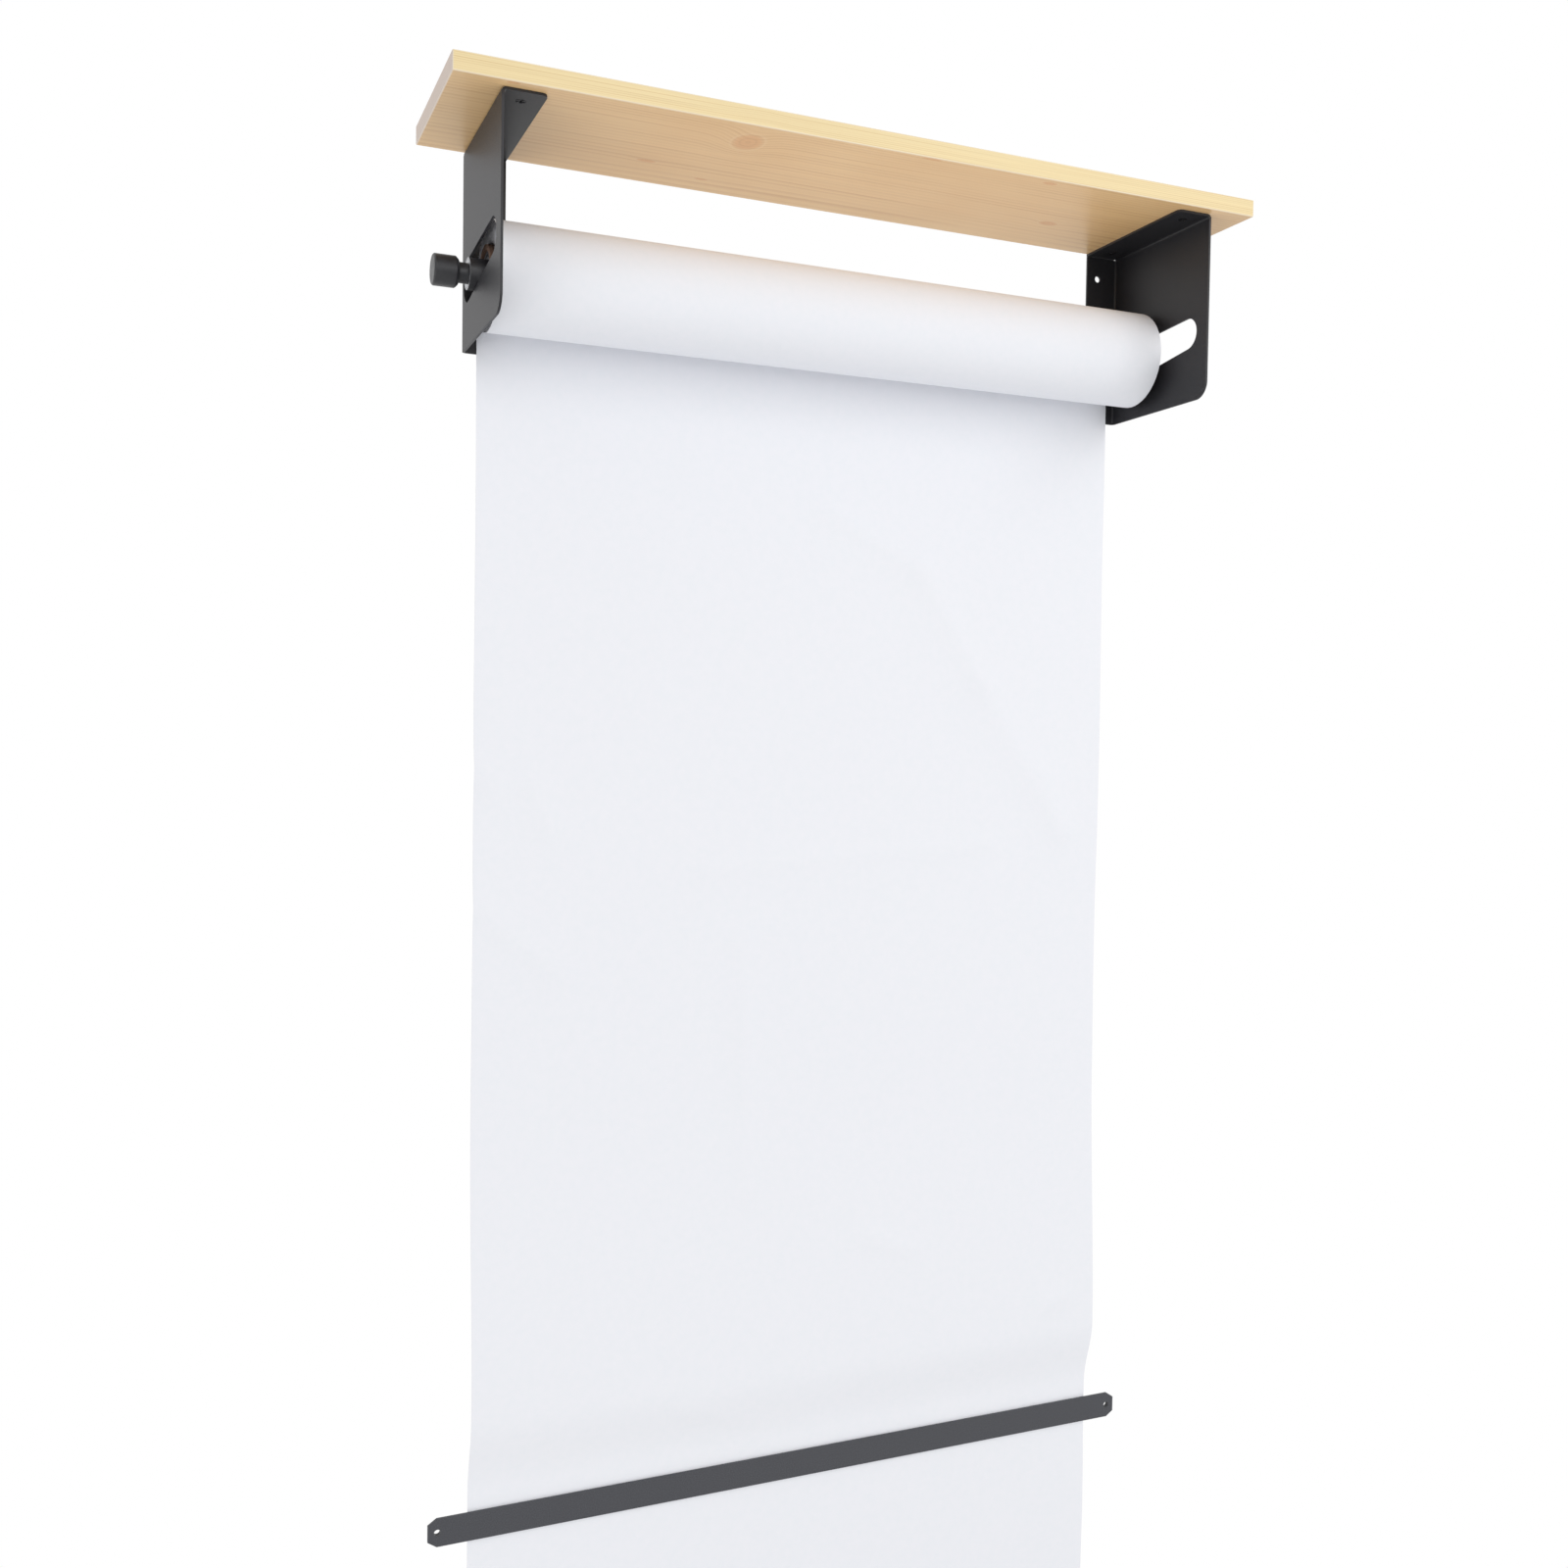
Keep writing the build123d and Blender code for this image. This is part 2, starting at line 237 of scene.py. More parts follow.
@dataclass(frozen=True, kw_only=True)
class LacqueredPine(Finish):
    """Planed pine under clear satin lacquer.

    It shows pale wood with fine late wood lines that run the length of the board and swing round a
    knot, yellower planed edges, a pinkish end grain whose colour is partly painted sheen, and pale
    arrises whose colour is a painted highlight.
    """

    name: str = "lacquered_pine"
    early_wood: str = "#F1CA93"
    late_wood: str = "#CC9860"
    amber: str = "#E8BC82"
    edge_early_wood: str = "#EAD5A2"
    edge_late_wood: str = "#C09555"
    knot_heart: str = "#E0A368"
    knot_rim: str = "#C88A52"
    knot_halo: str = "#F8DAAE"
    # Grey pink end grain, whose colour also holds a painted sheen
    end_grain_and_sheen: str = "#C0B4B1"
    # A painted highlight, laid along the rounded arrises
    arris_highlight: str = "#F6EEE4"

    # The board's middle and half its size, and its log's pith in Y and Z
    middle: Point
    half: Point
    pith: Span

    # Rings: their spacing, how far they wander, which part of a year is late wood, and how the
    # weather makes them strong or faint from year to year and along the board
    ring_spacing: float = 0.0015
    wander: float = 0.004
    wander_length: float = 0.60
    wander_width: float = 0.070
    late_season: Span = (0.3, 0.9)
    weather_length: float = 0.25
    weather_per_year: float = 0.55
    weather_range: Span = (0.40, 0.70)
    line_strength: Span = (0.05, 0.50)

    # Fibres, which shade the wood, and broad patches of amber
    fibre_length: float = 0.120
    fibre_width: float = 0.0012
    fibre_range: Span = (0.3, 0.7)
    fibre_shade: Span = (0.96, 1.02)
    patch_size: float = 1 / 9
    patch_range: Span = (0.40, 0.75)
    amber_share: float = 0.6

    # How deep below a face its own colour goes, and how far that colour covers the wood
    face_depth: float = 0.0006
    end_share: float = 0.75
    # How deep below two faces the painted highlight on the arrises lies, and how far it covers
    arris_depth: float = 0.0010
    arris_solid: float = 0.9
    arris_highlight_share: float = 0.4

    # Knots, measured in their own half-widths: a heart is at 0 and a rim at 1
    swing_falloff: float = 0.3
    heart_rings: float = 14.0
    heart_ring_share: float = 0.5
    heart_range: Span = (1.25, 0.70)
    heart_share: float = 0.6
    halo_place: float = 1.18
    halo_reach: float = 0.16
    halo_share: float = 0.2
    knots: tuple[Knot, ...] = (
        Knot((-0.1175, -0.120), (0.0115, 0.0150), 0.0050),
        Knot((0.202, -0.060), (0.009, 0.005), 0.0015),
        Knot((0.148, -0.146), (0.007, 0.003)),
        Knot((0.032, -0.151), (0.009, 0.002)),
        Knot((-0.313, -0.151), (0.005, 0.002)),
        Knot((-0.179, -0.048), (0.008, 0.003), 0.0006),
        Knot((-0.124, -0.028), (0.006, 0.002)),
    )

    def _knots(self, tree: Tree, place: Socket) -> tuple[Socket, Socket]:
        """Measure each point's distance from its nearest knot, and how far knots lift the rings.

        Args:
            tree: The material's node tree.
            place: Object coordinates.

        Returns:
            A distance that is 0 in a knot's heart and 1 on its rim, and the lift in metres.
        """
        nearest: Socket | float = FAR_FROM_KNOTS
        lift: Socket | float = 0.0
        for knot in self.knots:
            stretch = (1 / knot.radii[0], 1 / knot.radii[1], 0.0)
            centre = (-knot.centre[0] * stretch[0], -knot.centre[1] * stretch[1], 0.0)
            local = add_node(
                tree,
                "ShaderNodeMapping",
                inputs={"Vector": place, "Location": centre, "Scale": stretch},
            ).outputs["Vector"]
            away = add_node(
                tree, "ShaderNodeVectorMath", {"operation": "LENGTH"}, {0: local}
            ).outputs["Value"]
            nearest = add_node(
                tree, "ShaderNodeMath", {"operation": "MINIMUM"}, {0: away, 1: nearest}
            ).outputs[0]
            if knot.swing == 0:
                continue
            square = add_node(
                tree, "ShaderNodeMath", {"operation": "MULTIPLY"}, {0: away, 1: away}
            ).outputs[0]
            fall = add_node(
                tree,
                "ShaderNodeMath",
                {"operation": "MULTIPLY"},
                {0: square, 1: -self.swing_falloff},
            ).outputs[0]
            bell = add_node(tree, "ShaderNodeMath", {"operation": "EXPONENT"}, {0: fall}).outputs[0]
            lift = add_node(
                tree,
                "ShaderNodeMath",
                {"operation": "MULTIPLY_ADD"},
                {0: bell, 1: knot.swing, 2: lift},
            ).outputs[0]
        return nearest, lift

    def _streaks(
        self, tree: Tree, place: Socket, length: float, width: float, detail: float
    ) -> Socket:
        """Draw noise that is drawn out along the board.

        Args:
            tree: The material's node tree.
            place: Object coordinates.
            length: Length of a streak along the board.
            width: Width of a streak.
            detail: How many finer layers of noise are added.

        Returns:
            A socket that wanders about 0.5.
        """
        drawn_out = add_node(
            tree, "ShaderNodeMapping", inputs={"Vector": place, "Scale": (width / length, 1.0, 1.0)}
        ).outputs["Vector"]
        return add_node(
            tree,
            "ShaderNodeTexNoise",
            inputs={"Vector": drawn_out, "Scale": 1 / width, "Detail": detail},
        ).outputs["Fac"]

    def _growth_lines(self, tree: Tree, place: Socket, lift: Socket) -> Socket:
        """Draw the late wood lines of rings round a pith far above the board.

        Args:
            tree: The material's node tree.
            place: Object coordinates.
            lift: How far knots lift the rings.

        Returns:
            A socket that is highest on a strong late wood line and 0 between lines.
        """
        log = add_node(
            tree,
            "ShaderNodeMapping",
            inputs={
                "Vector": place,
                "Location": (0.0, -self.pith[0], -self.pith[1]),
                "Scale": (0.0, 1.0, 1.0),
            },
        ).outputs["Vector"]
        radius = add_node(
            tree, "ShaderNodeVectorMath", {"operation": "LENGTH"}, {0: log}
        ).outputs["Value"]
        drift = self._streaks(tree, place, self.wander_length, self.wander_width, detail=1.0)
        swing = add_node(
            tree,
            "ShaderNodeMath",
            {"operation": "MULTIPLY_ADD"},
            {0: drift, 1: self.wander, 2: lift},
        ).outputs[0]
        grown = add_node(
            tree, "ShaderNodeMath", {"operation": "ADD"}, {0: radius, 1: swing}
        ).outputs[0]
        years = add_node(
            tree, "ShaderNodeMath", {"operation": "DIVIDE"}, {0: grown, 1: self.ring_spacing}
        ).outputs[0]
        season = add_node(tree, "ShaderNodeMath", {"operation": "FRACT"}, {0: years}).outputs[0]
        line = add_node(
            tree,
            "ShaderNodeMapRange",
            EASED,
            {
                "Value": season,
                "From Min": self.late_season[0],
                "From Max": self.late_season[1],
            },
        ).outputs["Result"]
        # Good and poor years give strong and faint rings, and a ring changes slowly along the board
        along = add_node(tree, "ShaderNodeSeparateXYZ", inputs={"Vector": place}).outputs["X"]
        stretch = add_node(
            tree, "ShaderNodeMath", {"operation": "DIVIDE"}, {0: along, 1: self.weather_length}
        ).outputs[0]
        spread = add_node(
            tree, "ShaderNodeMath", {"operation": "MULTIPLY"}, {0: years, 1: self.weather_per_year}
        ).outputs[0]
        year = add_node(
            tree, "ShaderNodeCombineXYZ", inputs={"X": stretch, "Y": spread}
        ).outputs["Vector"]
        weather = add_node(
            tree, "ShaderNodeTexNoise", inputs={"Vector": year, "Scale": 1.0, "Detail": 1.0}
        ).outputs["Fac"]
        strength = add_node(
            tree,
            "ShaderNodeMapRange",
            inputs={
                "Value": weather,
                "From Min": self.weather_range[0],
                "From Max": self.weather_range[1],
                "To Min": self.line_strength[0],
                "To Max": self.line_strength[1],
            },
        ).outputs["Result"]
        return add_node(
            tree, "ShaderNodeMath", {"operation": "MULTIPLY"}, {0: line, 1: strength}
        ).outputs[0]

    def _sides(self, tree: Tree, place: Socket) -> tuple[Socket, Socket, Socket]:
        """Mark the planed edges, the sawn ends and the rounded arrises, which get a painted
        highlight.

        Args:
            tree: The material's node tree.
            place: Object coordinates.

        Returns:
            For each, a socket that gives how far its colour covers the wood, and 0 elsewhere.
        """
        offset = add_node(
            tree, "ShaderNodeVectorMath", {"operation": "SUBTRACT"}, {0: place, 1: self.middle}
        ).outputs["Vector"]
        away = add_node(
            tree, "ShaderNodeVectorMath", {"operation": "ABSOLUTE"}, {0: offset}
        ).outputs["Vector"]
        below = add_node(
            tree, "ShaderNodeVectorMath", {"operation": "SUBTRACT"}, {0: self.half, 1: away}
        ).outputs["Vector"]
        depth = add_node(tree, "ShaderNodeSeparateXYZ", inputs={"Vector": below}).outputs
        on_edge, on_end = (
            add_node(
                tree,
                "ShaderNodeMapRange",
                inputs={
                    "Value": depth[axis],
                    "From Min": self.face_depth,
                    "From Max": self.face_depth / 2,
                    "To Max": share,
                },
            ).outputs["Result"]
            for axis, share in (("Y", 1.0), ("X", self.end_share))
        )
        # A painted highlight goes where a point is shallow below two faces at once: the three
        # depths less the largest
        total = depth["X"]
        largest = depth["X"]
        for axis in ("Y", "Z"):
            total = add_node(
                tree, "ShaderNodeMath", {"operation": "ADD"}, {0: total, 1: depth[axis]}
            ).outputs[0]
            largest = add_node(
                tree, "ShaderNodeMath", {"operation": "MAXIMUM"}, {0: largest, 1: depth[axis]}
            ).outputs[0]
        shallow = add_node(
            tree, "ShaderNodeMath", {"operation": "SUBTRACT"}, {0: total, 1: largest}
        ).outputs[0]
        on_arris_highlight = add_node(
            tree,
            "ShaderNodeMapRange",
            inputs={
                "Value": shallow,
                "From Min": self.arris_depth,
                "From Max": self.arris_depth * self.arris_solid,
                "To Max": self.arris_highlight_share,
            },
        ).outputs["Result"]
        return on_edge, on_end, on_arris_highlight

    def _knot_wood(self, tree: Tree, near: Socket, wood: Socket) -> Socket:
        """Lay the knots' orange wood and the pale halo round it over the board's colour.

        Args:
            tree: The material's node tree.
            near: Distance from the nearest knot.
            wood: The board's colour.

        Returns:
            The colour with its knots.
        """
        turns = add_node(
            tree, "ShaderNodeMath", {"operation": "MULTIPLY"}, {0: near, 1: self.heart_rings}
        ).outputs[0]
        rings = add_node(tree, "ShaderNodeMath", {"operation": "SINE"}, {0: turns}).outputs[0]
        share = add_node(
            tree, "ShaderNodeMapRange", inputs={"Value": rings, "To Max": self.heart_ring_share}
        ).outputs["Result"]
        heart = add_node(
            tree,
            "ShaderNodeMix",
            MIX_COLOURS,
            {
                MIX_FACTOR: share,
                MIX_FIRST: linear(self.knot_heart),
                MIX_SECOND: linear(self.knot_rim),
            },
        ).outputs[MIX_RESULT]
        from_halo = add_node(
            tree, "ShaderNodeMath", {"operation": "SUBTRACT"}, {0: near, 1: self.halo_place}
        ).outputs[0]
        beside = add_node(
            tree, "ShaderNodeMath", {"operation": "ABSOLUTE"}, {0: from_halo}
        ).outputs[0]
        in_halo = add_node(
            tree,
            "ShaderNodeMapRange",
            EASED,
            {
                "Value": beside,
                "From Min": self.halo_reach,
                "From Max": 0.0,
                "To Max": self.halo_share,
            },
        ).outputs["Result"]
        in_heart = add_node(
            tree,
            "ShaderNodeMapRange",
            EASED,
            {
                "Value": near,
                "From Min": self.heart_range[0],
                "From Max": self.heart_range[1],
                "To Max": self.heart_share,
            },
        ).outputs["Result"]
        colour = wood
        for cover, laid in ((in_halo, linear(self.knot_halo)), (in_heart, heart)):
            colour = add_node(
                tree,
                "ShaderNodeMix",
                MIX_COLOURS,
                {MIX_FACTOR: cover, MIX_FIRST: colour, MIX_SECOND: laid},
            ).outputs[MIX_RESULT]
        return colour

    def surface(self, tree: Tree, place: Socket) -> Inputs:
        """Build the pine's growth lines, fibres, knots, edges and end grain, with painted sheen on
        the end grain and a painted highlight on the arrises.

        Args:
            tree: The material's node tree.
            place: Object coordinates, in metres.

        Returns:
            The shader's inputs.
        """
        near, lift = self._knots(tree, place)
        lines = self._growth_lines(tree, place, lift)
        fibres = self._streaks(tree, place, self.fibre_length, self.fibre_width, detail=2.0)
        on_edge, on_end, on_arris_highlight = self._sides(tree, place)
        patches = add_node(
            tree,
            "ShaderNodeTexNoise",
            inputs={"Vector": place, "Scale": 1 / self.patch_size, "Detail": 1.0},
        ).outputs["Fac"]
        tone = add_node(
            tree,
            "ShaderNodeMapRange",
            inputs={
                "Value": patches,
                "From Min": self.patch_range[0],
                "From Max": self.patch_range[1],
                "To Max": self.amber_share,
            },
        ).outputs["Result"]
        sapwood = add_node(
            tree,
            "ShaderNodeMix",
            MIX_COLOURS,
            {
                MIX_FACTOR: tone,
                MIX_FIRST: linear(self.early_wood),
                MIX_SECOND: linear(self.amber),
            },
        ).outputs[MIX_RESULT]
        early, late = (
            add_node(
                tree,
                "ShaderNodeMix",
                MIX_COLOURS,
                {MIX_FACTOR: on_edge, MIX_FIRST: face, MIX_SECOND: linear(edge)},
            ).outputs[MIX_RESULT]
            for face, edge in (
                (sapwood, self.edge_early_wood),
                (linear(self.late_wood), self.edge_late_wood),
            )
        )
        grown = add_node(
            tree,
            "ShaderNodeMix",
            MIX_COLOURS,
            {MIX_FACTOR: lines, MIX_FIRST: early, MIX_SECOND: late},
        ).outputs[MIX_RESULT]
        shade = add_node(
            tree,
            "ShaderNodeMapRange",
            inputs={
                "Value": fibres,
                "From Min": self.fibre_range[0],
                "From Max": self.fibre_range[1],
                "To Min": self.fibre_shade[0],
                "To Max": self.fibre_shade[1],
            },
        ).outputs["Result"]
        streaked = add_node(
            tree,
            "ShaderNodeMix",
            MIX_COLOURS | {"blend_type": "MULTIPLY"},
            {MIX_FACTOR: 1.0, MIX_FIRST: grown, MIX_SECOND: shade},
        ).outputs[MIX_RESULT]
        colour = self._knot_wood(tree, near, streaked)
        # The end grain's colour, partly painted sheen, then the painted highlight on the arrises
        for cover, laid in ((on_end, self.end_grain_and_sheen), (on_arris_highlight, self.arris_highlight)):
            colour = add_node(
                tree,
                "ShaderNodeMix",
                MIX_COLOURS,
                {MIX_FACTOR: cover, MIX_FIRST: colour, MIX_SECOND: linear(laid)},
            ).outputs[MIX_RESULT]
        bump = add_node(
            tree,
            "ShaderNodeBump",
            inputs={"Height": fibres, "Strength": 0.2, "Distance": 0.0002},
        ).outputs["Normal"]
        return {
            "Base Color": colour,
            "Roughness": 0.45,
            "IOR": 1.5,
            "Coat Weight": 0.2,
            "Coat Roughness": 0.25,
            "Normal": bump,
        }


@dataclass(frozen=True, kw_only=True)
class PowderCoat(Finish):
    """Matte black powder coat on sheet steel.

    It shows a fine dry grit with a faint orange peel under it, and a soft broad gloss. The grit is
    drawn about twice as coarse as the real grains, so that it shows.
    """

    name: str = "powder_coated_steel"
    body: str = "#202023"
    grains: str = "#2C2C30"
    grain_size: float = 0.0010
    grain_range: Span = (0.35, 0.70)
    peel_size: float = 0.0045
    peel_share: float = 0.6
    gloss_range: Span = (0.3, 0.7)
    roughness: Span = (0.40, 0.52)

    def surface(self, tree: Tree, place: Socket) -> Inputs:
        """Build the coat's grit and orange peel.

        Args:
            tree: The material's node tree.
            place: Object coordinates, in metres.

        Returns:
            The shader's inputs.
        """
        grit = add_node(
            tree,
            "ShaderNodeTexNoise",
            inputs={"Vector": place, "Scale": 1 / self.grain_size, "Detail": 2.0},
        ).outputs["Fac"]
        peel = add_node(
            tree,
            "ShaderNodeTexNoise",
            inputs={"Vector": place, "Scale": 1 / self.peel_size, "Detail": 1.0},
        ).outputs["Fac"]
        speckle = add_node(
            tree,
            "ShaderNodeMapRange",
            inputs={
                "Value": grit,
                "From Min": self.grain_range[0],
                "From Max": self.grain_range[1],
            },
        ).outputs["Result"]
        colour = add_node(
            tree,
            "ShaderNodeMix",
            MIX_COLOURS,
            {MIX_FACTOR: speckle, MIX_FIRST: linear(self.body), MIX_SECOND: linear(self.grains)},
        ).outputs[MIX_RESULT]
        gloss = add_node(
            tree,
            "ShaderNodeMapRange",
            inputs={
                "Value": grit,
                "From Min": self.gloss_range[0],
                "From Max": self.gloss_range[1],
                "To Min": self.roughness[0],
                "To Max": self.roughness[1],
            },
        ).outputs["Result"]
        height = add_node(
            tree,
            "ShaderNodeMath",
            {"operation": "MULTIPLY_ADD"},
            {0: peel, 1: self.peel_share, 2: grit},
        ).outputs[0]
        bump = add_node(
            tree,
            "ShaderNodeBump",
            inputs={"Height": height, "Strength": 0.3, "Distance": 0.0002},
        ).outputs["Normal"]
        return {"Base Color": colour, "Roughness": gloss, "IOR": 1.42, "Normal": bump}


@dataclass(frozen=True, kw_only=True)
class SatinPaint(Finish):
    """Satin black paint on turned metal.

    It shows an even dark gloss with the faint tool rings of the lathe under the paint, and bare
    metal beyond the painted length. The rings are drawn a few times wider than real ones, so that
    they show.
    """

    name: str = "satin_painted_metal"
    paint: str = "#242427"
    dust: str = "#323236"
    bare: str = "#A9AAAD"
    ring_spacing: float = 0.0008
    cloud_size: float = 1 / 300
    gloss_range: Span = (0.3, 0.7)
    roughness: Span = (0.34, 0.46)

    # How far from x = 0 the paint reaches: one metre is past the ends of every piece
    painted_to: float = 1.0

    def surface(self, tree: Tree, place: Socket) -> Inputs:
        """Build the paint's tool rings and slight unevenness.

        Args:
            tree: The material's node tree.
            place: Object coordinates, in metres.

        Returns:
            The shader's inputs.
        """
        rings = add_node(
            tree,
            "ShaderNodeTexWave",
            {"wave_type": "BANDS", "bands_direction": "X"},
            {
                "Vector": place,
                "Scale": WAVE_PERIOD / self.ring_spacing,
                "Distortion": 1.5,
                "Detail": 2.0,
            },
        ).outputs["Fac"]
        clouds = add_node(
            tree,
            "ShaderNodeTexNoise",
            inputs={"Vector": place, "Scale": 1 / self.cloud_size, "Detail": 3.0},
        ).outputs["Fac"]
        painted = add_node(
            tree,
            "ShaderNodeMix",
            MIX_COLOURS,
            {MIX_FACTOR: clouds, MIX_FIRST: linear(self.paint), MIX_SECOND: linear(self.dust)},
        ).outputs[MIX_RESULT]
        along = add_node(tree, "ShaderNodeSeparateXYZ", inputs={"Vector": place}).outputs["X"]
        away = add_node(tree, "ShaderNodeMath", {"operation": "ABSOLUTE"}, {0: along}).outputs[0]
        sawn = add_node(
            tree, "ShaderNodeMath", {"operation": "GREATER_THAN"}, {0: away, 1: self.painted_to}
        ).outputs[0]
        colour = add_node(
            tree,
            "ShaderNodeMix",
            MIX_COLOURS,
            {MIX_FACTOR: sawn, MIX_FIRST: painted, MIX_SECOND: linear(self.bare)},
        ).outputs[MIX_RESULT]
        gloss = add_node(
            tree,
            "ShaderNodeMapRange",
            inputs={
                "Value": clouds,
                "From Min": self.gloss_range[0],
                "From Max": self.gloss_range[1],
                "To Min": self.roughness[0],
                "To Max": self.roughness[1],
            },
        ).outputs["Result"]
        bump = add_node(
            tree,
            "ShaderNodeBump",
            inputs={"Height": rings, "Strength": 0.12, "Distance": 0.0001},
        ).outputs["Normal"]
        return {
            "Base Color": colour,
            "Metallic": sawn,
            "Roughness": gloss,
            "IOR": 1.5,
            "Normal": bump,
        }


@dataclass(frozen=True, kw_only=True)
class GrainedFinish(Finish):
    """A finish with one fine grain, which mottles its colour and roughens its surface.

    The grain is drawn a few times coarser than the real one, so that it shows.
    """

    base: str
    fleck: str
    grain_size: float
    relief: float

    def grain(self, tree: Tree, place: Socket) -> tuple[Socket, Socket]:
        """Draw the grain.

        Args:
            tree: The material's node tree.
            place: Object coordinates, in metres.

        Returns:
            The mottled colour, and the surface's normal.
        """
        grain = add_node(
            tree,
            "ShaderNodeTexNoise",
            inputs={"Vector": place, "Scale": 1 / self.grain_size, "Detail": 2.0},
        ).outputs["Fac"]
        colour = add_node(
            tree,
            "ShaderNodeMix",
            MIX_COLOURS,
            {MIX_FACTOR: grain, MIX_FIRST: linear(self.base), MIX_SECOND: linear(self.fleck)},
        ).outputs[MIX_RESULT]
        bump = add_node(
            tree,
            "ShaderNodeBump",
            inputs={"Height": grain, "Strength": self.relief, "Distance": 0.0001},
        ).outputs["Normal"]
        return colour, bump


@dataclass(frozen=True, kw_only=True)
class BareSteel(GrainedFinish):
    """Bare or blackened steel with machining marks, which shows as a soft streaky metal gloss."""

    name: str = "turned_steel"
    base: str = "#C6C7CA"
    fleck: str = "#A2A4A8"
    grain_size: float = 0.0007
    relief: float = 0.15
    roughness: float = 0.35

    def surface(self, tree: Tree, place: Socket) -> Inputs:
        """Build the machining marks.

        Args:
            tree: The material's node tree.
            place: Object coordinates, in metres.

        Returns:
            The shader's inputs.
        """
        colour, bump = self.grain(tree, place)
        return {
            "Base Color": colour,
            "Metallic": 1.0,
            "Roughness": self.roughness,
            "Normal": bump,
        }


@dataclass(frozen=True, kw_only=True)
class MouldedPlastic(GrainedFinish):
    """Black moulded polypropylene, which shows a spark-eroded texture and a low even gloss."""

    name: str = "moulded_polypropylene"
    base: str = "#2B2B2E"
    fleck: str = "#38383C"
    grain_size: float = 0.0008
    relief: float = 0.25

    def surface(self, tree: Tree, place: Socket) -> Inputs:
        """Build the mould's fine texture.

        Args:
            tree: The material's node tree.
            place: Object coordinates, in metres.

        Returns:
            The shader's inputs.
        """
        colour, bump = self.grain(tree, place)
        return {"Base Color": colour, "Roughness": 0.48, "IOR": 1.49, "Normal": bump}


@dataclass(frozen=True, kw_only=True)
class WoundFinish(Finish):
    """A finish with rings round an axis along X, which are the edges of wound layers."""

    axis: Span
    layer: float
    waver: float
    waver_detail: float
    waver_scale: float = 1.0

    def rings(self, tree: Tree, place: Socket) -> Socket:
        """Draw the rings of the wound layers.

        Args:
            tree: The material's node tree.
            place: Object coordinates, in metres.

        Returns:
            A socket that goes from 0 to 1 and back across each layer.
        """
        centred = add_node(
            tree,
            "ShaderNodeMapping",
            inputs={"Vector": place, "Location": (0.0, -self.axis[0], -self.axis[1])},
        ).outputs["Vector"]
        return add_node(
            tree,
            "ShaderNodeTexWave",
            {"wave_type": "RINGS", "rings_direction": "X"},
            {
                "Vector": centred,
                "Scale": WAVE_PERIOD / self.layer,
                "Distortion": self.waver,
                "Detail": self.waver_detail,
                "Detail Scale": self.waver_scale,
            },
        ).outputs["Fac"]


@dataclass(frozen=True, kw_only=True)
class KraftBoard(WoundFinish):
    """Wound kraft board, which shows brown pulp with darker flecks and the edges of its plies.

    The plies are drawn about twice as thick as real ones, so that they show.
    """

    name: str = "kraft_board"
    pulp: str = "#725848"
    fleck: str = "#524036"
    layer: float = 0.0010
    waver: float = 1.0
    waver_detail: float = 2.0
    ply_share: float = 0.35
    fleck_size: float = 0.0018
    mottle_range: Span = (0.4, 1.0)

    def surface(self, tree: Tree, place: Socket) -> Inputs:
        """Build the plies and the flecks.

        Args:
            tree: The material's node tree.
            place: Object coordinates, in metres.

        Returns:
            The shader's inputs.
        """
        plies = self.rings(tree, place)
        flecks = add_node(
            tree,
            "ShaderNodeTexNoise",
            inputs={
                "Vector": place,
                "Scale": 1 / self.fleck_size,
                "Detail": 4.0,
                "Roughness": 0.65,
            },
        ).outputs["Fac"]
        mottle = add_node(
            tree,
            "ShaderNodeMath",
            {"operation": "MULTIPLY_ADD"},
            {0: plies, 1: self.ply_share, 2: flecks},
        ).outputs[0]
        share = add_node(
            tree,
            "ShaderNodeMapRange",
            inputs={
                "Value": mottle,
                "From Min": self.mottle_range[0],
                "From Max": self.mottle_range[1],
            },
        ).outputs["Result"]
        colour = add_node(
            tree,
            "ShaderNodeMix",
            MIX_COLOURS,
            {MIX_FACTOR: share, MIX_FIRST: linear(self.pulp), MIX_SECOND: linear(self.fleck)},
        ).outputs[MIX_RESULT]
        bump = add_node(
            tree,
            "ShaderNodeBump",
            inputs={"Height": mottle, "Strength": 0.3, "Distance": 0.0002},
        ).outputs["Normal"]
        return {
            "Base Color": colour,
            "Roughness": 0.85,
            "Specular IOR Level": 0.3,
            "Normal": bump,
        }


